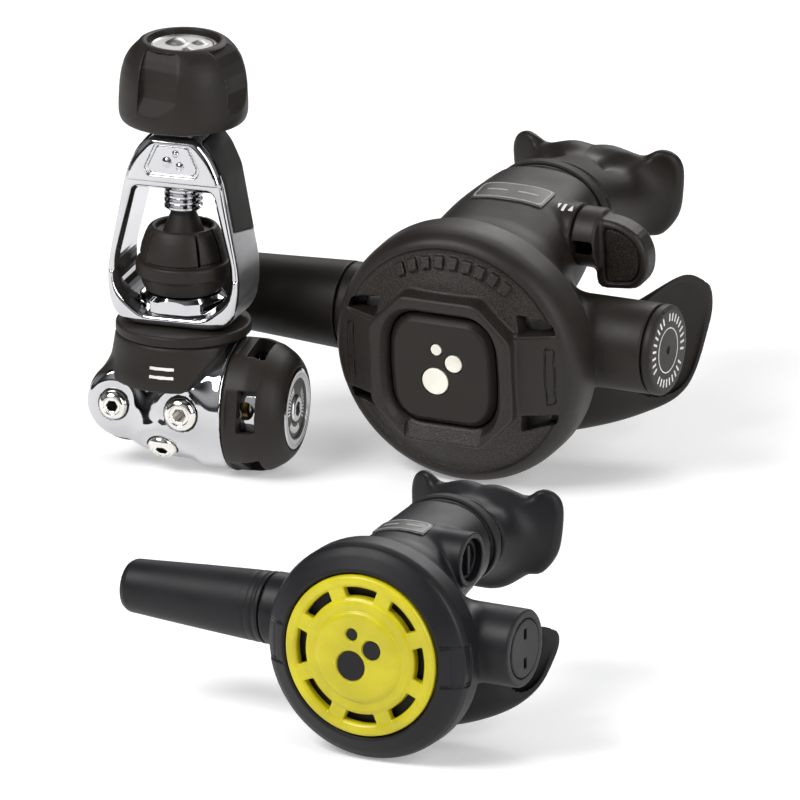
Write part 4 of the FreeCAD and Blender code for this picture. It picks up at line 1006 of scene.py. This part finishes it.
def primary_cover():
    def dome(lower):
        return lathe([(-15.6 + lower, 0), (-15 + lower, 20), (-12.6 + lower, 28), (-9.8 + lower, 34),
                      (-7.8 + lower, 38), (-7.4, 40), (-6.2, 41.8), (-3.6, 43.3), (0, 44), (8.5, 44),
                      (9.6, 43.2), (9.6, 0)], 1.6, axis=ALONG_Y)

    def raised(p):
        radius = np.hypot(p[:, 0], p[:, 2])
        return np.minimum(CRESCENT_R - radius, np.abs(p[:, 2]) - BAND)
    shell = union(0.5, dome(1.1), both(0.8, dome(0), raised))
    outer = prism(eased(FRAME, 2.5), 1, -18.4, -8, 1.4)
    band = box((-60, -30, -13.4), (60, 20, 13.4), 0.6)
    outside = turned([(-30, 21), (-30, 60), (5, 60), (5, 21)], ORIGIN, ALONG_Y)
    proud = both(0.6, dome(-1), both(0.5, band, outside))
    within = turned([(-30, 0), (-30, 43.9), (9, 43.9), (9, 0)], ORIGIN, ALONG_Y)
    shell = union(0.5, shell, both(0.3, proud, within))
    shell = union(1, shell, outer)

    def funnel(p):
        """Opening that narrows from the frame's face to the button."""
        side = front_distance(p, BUTTON_EDGE)
        return np.maximum(side - np.clip(-p[:, 1] - 14.6, 0, 3.8) * 0.62, p[:, 1] - 4)

    def facet_cut(p):
        """Sloping grained facet below the button."""
        front = p[:, 1] - (-15.4 + 0.55 * (p[:, 2] + 19.6))
        return np.maximum(np.maximum(front * 0.88, p[:, 2] + 19.2), np.abs(p[:, 0]) - 13.6)
    shell = cut(0.5, shell, funnel)
    shell = cut(0.3, shell, facet_cut)
    vent = prism(eased([(24.4, 20.6), (36, 17.6), (37.4, 14), (25.6, 14)], 0.8), 1, -22, -2, 0.2)
    vents = mirrored(mirrored(vent, 0), 2)
    slot_outer = prism(eased([(34, -10.2), (37, -9.6), (37.4, 0), (37, 9.6), (34, 10.2)], 0.6),
                       1, -24, 0, 0.1)
    slot_inner = prism(eased([(34.5, -9.7), (36.5, -9.2), (36.9, 0), (36.5, 9.2), (34.5, 9.7)], 0.6),
                       1, -24, 0, 0.1)
    mark = both(0, cut(0, slot_outer, slot_inner), lambda p: -dome(-0.5)(p))
    shell = cut(0.2, shell, vents, mirrored(mark))
    dashes = union(0, *(spun(box((-1.6, -20, 33.6), (1.6, 0, 37.2), 0.3), ALONG_Y, (i - 4) * 8 + 3)
                        for i in range(9)))
    shell = union(0.15, shell, both(0.2, dome(-0.42), dashes))
    back = turned([(-3.6, 0), (-3.6, 34), (0.8, 40), (0.8, 41.5), (11, 41.5), (11, 0)], ORIGIN, ALONG_Y)
    shell = cut(0.2, shell, back)

    # grained areas: real texture bump, and painted sparkle in the cover plastic
    def grain(p):
        radius = np.hypot(p[:, 0], p[:, 2])
        crescent = (radius < CRESCENT_R - 0.3) & (np.abs(p[:, 2]) > BAND + 0.5) & (p[:, 1] < -5)
        inner = front_distance(p, FRAME) < 0
        facet = inner & (p[:, 2] < -19.6) & (np.abs(p[:, 0]) < 13.2) & (p[:, 1] > -18.3)
        return np.where(crescent & ~inner, 1, 0) + np.where(facet, 1, 0) + np.where(inner, 0.3, 0)
    unit_piece(PRIMARY, "front_cover", shell, (-44.5, -19, -44.5), (44.5, 10, 44.5), 0.5, "second_stage",
               ["cover"], "warm_black_plastic", "cover", grain)


def purge_button():
    face = BUTTON_FACE
    outline = eased(button_outline(0), BUTTON_EASE)

    def field(p):
        side = front_distance(p, outline)
        slope = side + np.clip(face + 2.6 - p[:, 1], 0, 4) * 0.9
        return rounded_slab(slope, np.maximum(face - p[:, 1], p[:, 1] - (face + 6.2)), 0.4)
    wells = [rod((x, face - 2, z), (x, face + 1, z), r + 0.35, rounding=0.2) for x, z, r in EMBLEM]
    shape = cut(0.3, field, *wells)
    shape = union(0.3, shape, rod((0, face + 5, 0), (0, -0.3, 0), 4))
    unit_piece(PRIMARY, "purge_pad", shape, (-20, face - 0.3, -20), (20, 0.5, 20), 0.45, "purge",
               ["purge_button"], "warm_black_plastic", "rubber")
    inlay = union(0, *(rod((x, face - 0.1, z), (x, face + 1.4, z), r, rounding=0.35) for x, z, r in EMBLEM))
    unit_piece(PRIMARY, "purge_inlay", inlay, (-12, face - 1, -12), (12, face + 2, 12), 0.35, "purge", [],
               "warm_black_plastic", "cream")


def flow_lever():
    x, y, z = LEVER
    hub = rod((x - 3.5, y, z), (x + 5, y, z), 10, rounding=1.2)
    outline = eased([(x + 2.6, z + 8.4), (x + 12, z + 7.6), (x + 18.6, z + 4), (x + 21.6, z - 2),
                     (x + 21.2, z - 9.5), (x + 17.6, z - 15), (x + 2.6, z - 16.6)], 4)
    inset = eased([(x + 6.4, z + 5.6), (x + 11.4, z + 5), (x + 16.6, z + 2.2), (x + 18.9, z - 2.8),
                   (x + 18.5, z - 8.6), (x + 15.8, z - 12.4), (x + 6.4, z - 13.8)], 2.5)
    paddle = prism(outline, 1, y - 4.6, y + 4.2, 2)
    shape = union(2, hub, paddle)

    def seam(p):
        """Fine line round the lever's grained face."""
        return np.maximum(np.abs(front_distance(p, inset)) - 0.4, p[:, 1] - (y - 3.7))
    shape = cut(0.2, shape, prism(inset, 1, y - 8, y - 4.3, 0.1), seam)

    # grained face: real texture bump, and painted sparkle in the cover plastic
    def grain(p):
        return np.where((front_distance(p, inset) < 0) & (p[:, 1] < y), 1, 0.2)
    unit_piece(PRIMARY, "flow_lever", shape, (x - 5, y - 9, z - 18), (x + 23, y + 9, z + 9), 0.5, "adjuster",
               ["adjustment_lever"], "warm_black_plastic", "cover", grain)
    skin = cut(0, rod((12, y, z), (23, y, z), 10.76, rounding=0.8), rod((8, y, z), (24, y, z), 9.4))
    corners = [(20.4, 41), (22.2, 41), (21.3, 44)]
    marks = union(0, prism(corners, 2, z + 5, z + 13, 0.05),
                  *(box((x - 0.55, 40.6, z + 5), (x + 0.55, 44.2, z + 13), 0.1) for x in (16.4, 18.6)))
    unit_piece(PRIMARY, "lever_marks", both(0, skin, marks), (14, 39, z + 7), (24, 46, z + 12), 0.25,
               "second_stage", [], "warm_black_plastic", "white")


def primary_end_plug():
    right, radius = PRIMARY["boss_right"]
    start = right + 0.3
    cap = rod(tube_line(PRIMARY, start), tube_line(PRIMARY, start + 3.4), radius, rounding=1.2)
    cap = union(0.2, cap, rod(tube_line(PRIMARY, start - 3), tube_line(PRIMARY, start + 1), radius - 1.4))
    cy, cz = PRIMARY["tube"]
    cap = cut(0.2, cap, ring((start + 3.4, cy, cz), 0, 14, 0.2),
              rod((start + 2.6, cy, cz), (start + 5, cy, cz), 1.1))
    unit_piece(PRIMARY, "end_plug", cap, (start - 4, cy - 16, cz - 16), (start + 4, cy + 16, cz + 16), 0.45,
               "second_stage", ["tube_cap"], "warm_black_plastic", "warm")
    print_ring = ring((start + 3.25, cy, cz), 0, 7.4, 0.26)
    ticks = [spun(box((start + 3.2, cy - 0.45, cz + 9.6), (start + 3.48, cy + 0.45, cz + 12.4), 0.1), ALONG_X,
                  12 * i, (0, cy, cz)) for i in range(30) if i % 10]
    marks = union(0, print_ring, *ticks)
    unit_piece(PRIMARY, "end_plug_print", marks, (start + 2.7, cy - 13, cz - 13),
               (start + 3.8, cy + 13, cz + 13), 0.25, "second_stage", [], "warm_black_plastic", "white")


# ---------------------------------------------------------------- octopus only
def octopus_cover():
    shell = lathe([(-6.6, 27.2), (-7.2, 28.2), (-4.8, 33), (-3, 35.2), (-0.6, 36), (6.5, 36), (7.4, 35.2),
                   (7.4, 33.6), (0.6, 33.5), (0.4, 31.4), (-2.2, 27.2)], 0.8, axis=ALONG_Y)
    notch = mirrored(mirrored(box((28, -12, 6.2), (37, 1, 7), 0.2), 2))
    slab = mirrored(box((31, -12, -6), (37, 1, 6), 0.5))
    skin = turned([(-6.2, 27.2), (-6.6, 28.2), (-4.3, 33), (-2.5, 35.2), (-0.3, 35.4), (6, 35.4), (6, 26)],
                  ORIGIN, ALONG_Y)
    shell = cut(0.3, shell, cut(0.1, union(0, notch, slab), skin))
    unit_piece(OCTOPUS, "front_ring", shell, (-36.5, -8, -36.5), (36.5, 8, 36.5), 0.5, "second_stage",
               ["cover_ring"], "cool_black_plastic", "cool")


def octopus_purge():
    inner = 22.8
    disc = lathe([(-9.8, 0), (-9.7, 13.9), (-9.2, 14.9), (-8.6, 15.3), (-8.5, 18.2), (-7.6, 19.5),
                  (-4.4, 19.6), (-4.4, 0)], 0.5, axis=ALONG_Y)
    rim = lathe([(-7.2, inner), (-8.1, inner + 0.9), (-8.1, 26.1), (-7.2, 26.8), (-4.6, 26.8), (-4.6, inner)],
                0.5, axis=ALONG_Y)
    spokes = [spun(box((17, -7.8, -2.8), (24, -4.7, 2.8), 0.5), ALONG_Y, 45 * (i + 0.5)) for i in range(8)]
    shape = union(0.5, disc, rim, *spokes)
    emblem = ((-2.4, -3.2, 5.2), (5, 3, 3.4), (-2, 7.4, 2.2))
    wells = [rod((x, -12, z), (x, -9, z), r, rounding=0.25) for x, z, r in emblem]
    shape = cut(0.25, shape, *wells)
    unit_piece(OCTOPUS, "purge_face", shape, (-27, -10.4, -27), (27, -4, 27), 0.4, "purge", ["purge_cover"],
               "yellow_plastic", "yellow")
    dark = union(0, *(rod((x, -9.25, z), (x, -8.6, z), r - 0.25, rounding=0.1) for x, z, r in emblem))
    unit_piece(OCTOPUS, "purge_emblem", dark, (-10, -10, -10), (10, -8, 11), 0.35, "purge", [],
               "cool_black_plastic", "cool")
    floor = turned([(-3.4, 0), (-3.4, 27), (-2.4, 27), (-2.4, 0)], ORIGIN, ALONG_Y)
    unit_piece(OCTOPUS, "purge_backing", floor, (-28, -4, -28), (28, -2, 28), 0.6, "second_stage", [],
               "cool_black_plastic", "soot")


STUB_END = (20.5, 31, 24)


def octopus_details():
    right, radius = OCTOPUS["boss_right"]
    cy, cz = OCTOPUS["tube"]
    head = rod((right - 4, cy, cz), (right + 0.2, cy, cz), 9.6, rounding=0.5)
    holes = [box((right - 1.2, cy - 0.9, cz + 3.2), (right + 2, cy + 0.9, cz + 6.6), 0.2),
             box((right - 1.2, cy - 0.9, cz - 6.6), (right + 2, cy + 0.9, cz - 3.2), 0.2)]
    unit_piece(OCTOPUS, "end_plug", cut(0.2, head, *holes), (right - 5, cy - 10, cz - 10),
               (right + 1, cy + 10, cz + 10), 0.4, "second_stage", ["tube_cap"], "cool_black_plastic", "cool")
    x, y, z = STUB_END
    vane = union(0.4,
                 cut(0.1, rod((x - 4.8, y, z), (x - 2, y, z), 6.8), rod((x - 3.4, y, z), (x, y, z), 5.2)),
                 box((x - 4.4, y - 0.7, z - 5), (x - 1.2, y + 0.7, z + 5), 0.4))
    unit_piece(OCTOPUS, "stub_vane", vane, (x - 5, y - 8, z - 8), (x, y + 8, z + 8), 0.4, "second_stage", [],
               "cool_black_plastic", "cool")


def build_second_stages():
    lever_boss = rod((8, *LEVER[1:]), (23.2, *LEVER[1:]), LEVER_BOSS_R, rounding=0.8)
    case(PRIMARY, [lever_boss], [])
    x, y, z = STUB_END
    stub = rod((x - 14.5, y, z), STUB_END, 9, rounding=0.6)
    plug_seat = rod((42.5, 18, 2), (48, 18, 2), 9.8, rounding=0.2)
    case(OCTOPUS, [stub], [rod((x - 4.5, y, z), (x + 2, y, z), 7, rounding=0.3), plug_seat])
    for unit in (PRIMARY, OCTOPUS):
        for build in (mouthpiece, tie, tee, label, boot):
            build(unit)
    for build in (primary_cover, purge_button, flow_lever, primary_end_plug):
        build()
    for build in (octopus_cover, octopus_purge, octopus_details):
        build()


for build in (handwheel, yoke, dust_cap, body, shroud, end_cap, build_second_stages):
    build()

# ---------------------------------------------------------------- finishes for the CAD nodes that stay
SLOT_PAINT = {
    "polished_chrome": "chrome", "satin_chrome": "satin", "plug_chrome": "plug", "spring_steel": "steel",
    "brass": "brass", "sintered_bronze": "bronze", "black_rubber": "rubber", "warm_black_plastic": "warm",
    "cool_black_plastic": "cool", "black_silicone": "silicone", "clear_silicone": "clear",
    "seal_rubber": "seal", "yellow_plastic": "yellow", "grey_disc": "disc", "silver_label": "label",
}
for part in frame["record"]["subparts"]:
    node = frame["nodes"][part["node"]]
    node.data.materials.clear()
    node.data.materials.append(paint[SLOT_PAINT[part["material_slot"]]])

# ---------------------------------------------------------------- floor, light and camera
scene = bpy.context.scene
floor_mesh = bpy.data.meshes.new("floor")
SIDE = 3.0
floor_mesh.from_pydata([(-SIDE, -SIDE, -0.0002), (SIDE, -SIDE, -0.0002), (SIDE, SIDE, -0.0002),
                        (-SIDE, SIDE, -0.0002)], [], [(0, 1, 2, 3)])
floor = bpy.data.objects.new("floor", floor_mesh)
scene.collection.objects.link(floor)
floor_look = Shader("floor")
floor_look.feed("Base Color",
                floor_look.colour((0.80, 0.80, 0.80), (0.84, 0.84, 0.84), floor_look.noise(3.0)))
floor_look.set(Roughness=0.9, Specular_IOR_Level=0.1, Emission_Strength=0.30)
floor_look.bsdf.inputs["Emission Color"].default_value = (1, 1, 1, 1)
floor_mesh.materials.append(floor_look.material)

world = bpy.data.worlds.new("studio")
scene.world = world
world.use_nodes = True
sky = world.node_tree
direction = sky.nodes.new("ShaderNodeTexCoord").outputs["Generated"]
split = sky.nodes.new("ShaderNodeSeparateXYZ")
sky.links.new(direction, split.inputs[0])


def sky_bands(axis, stops, blue=1.0):
    """Soft bright and dark bands across the sky, from -1 to 1 along an axis."""
    stretch = sky.nodes.new("ShaderNodeMapRange")
    stretch.inputs["From Min"].default_value = -1
    stretch.inputs["From Max"].default_value = 1
    ramp = sky.nodes.new("ShaderNodeValToRGB")
    ramp.color_ramp.interpolation = "B_SPLINE"
    while len(ramp.color_ramp.elements) < len(stops):
        ramp.color_ramp.elements.new(0.5)
    for element, (position, value) in zip(ramp.color_ramp.elements, stops):
        element.position = position
        element.color = (value, value, value * blue, 1)
    sky.links.new(split.outputs[axis], stretch.inputs["Value"])
    sky.links.new(stretch.outputs["Result"], ramp.inputs["Fac"])
    return ramp.outputs["Color"]


HEIGHT_STOPS = ((0.0, 0.75), (0.48, 0.8), (0.50, 0.10), (0.56, 0.04), (0.60, 0.75),
                (0.72, 1.0), (0.80, 0.9), (0.86, 0.03), (0.93, 0.05), (1.0, 0.7))
SIDE_STOPS = ((0.0, 0.9), (0.10, 0.05), (0.24, 0.03), (0.32, 1.0),
              (0.60, 1.0), (0.72, 0.05), (0.86, 0.03), (1.0, 1.0))
blend_sky = sky.nodes.new("ShaderNodeMix")
blend_sky.data_type = "RGBA"
blend_sky.blend_type = "MULTIPLY"
blend_sky.inputs["Factor"].default_value = 1.0
sky.links.new(sky_bands("Z", HEIGHT_STOPS, 1.02), blend_sky.inputs["A"])
sky.links.new(sky_bands("X", SIDE_STOPS), blend_sky.inputs["B"])
background = sky.nodes["Background"]
background.inputs["Strength"].default_value = 0.6
sky.links.new(blend_sky.outputs["Result"], background.inputs["Color"])


def lamp(name, place, aim, size, power, colour=(1, 1, 1)):
    light = bpy.data.lights.new(name, "AREA")
    light.shape = "RECTANGLE"
    light.size, light.size_y = size
    light.energy = power
    light.color = colour
    holder = bpy.data.objects.new(name, light)
    holder.location = place
    holder.rotation_euler = (Vector(aim) - Vector(place)).to_track_quat("-Z", "Y").to_euler()
    scene.collection.objects.link(holder)


CENTRE = (0.1, -0.12, 0.05)
lamp("key", (-0.7, -1.0, 1.3), CENTRE, (0.9, 0.7), 26)
lamp("fill", (1.3, -0.7, 0.7), CENTRE, (0.5, 1.1), 12)
lamp("back", (0.2, 1.3, 1.1), CENTRE, (1.4, 0.5), 16)

AIM = Vector((0.0996, -0.1226, 0.070))
AZIMUTH, ELEVATION = math.radians(18), math.radians(18)
BACK = Vector((math.sin(AZIMUTH) * math.cos(ELEVATION), -math.cos(AZIMUTH) * math.cos(ELEVATION),
               math.sin(ELEVATION)))
camera = bpy.data.objects.new("camera", bpy.data.cameras.new("camera"))
camera.data.lens = 1600
camera.data.sensor_width = 36
FIELD = 0.258            # metres across the picture at the aim
camera.location = AIM + BACK * (FIELD * camera.data.lens / camera.data.sensor_width)
camera.rotation_mode = "QUATERNION"
camera.rotation_quaternion = (-BACK).to_track_quat("-Z", "Y")
camera.data.clip_end = 100
scene.collection.objects.link(camera)
scene.camera = camera
scene.view_settings.view_transform = "Standard"
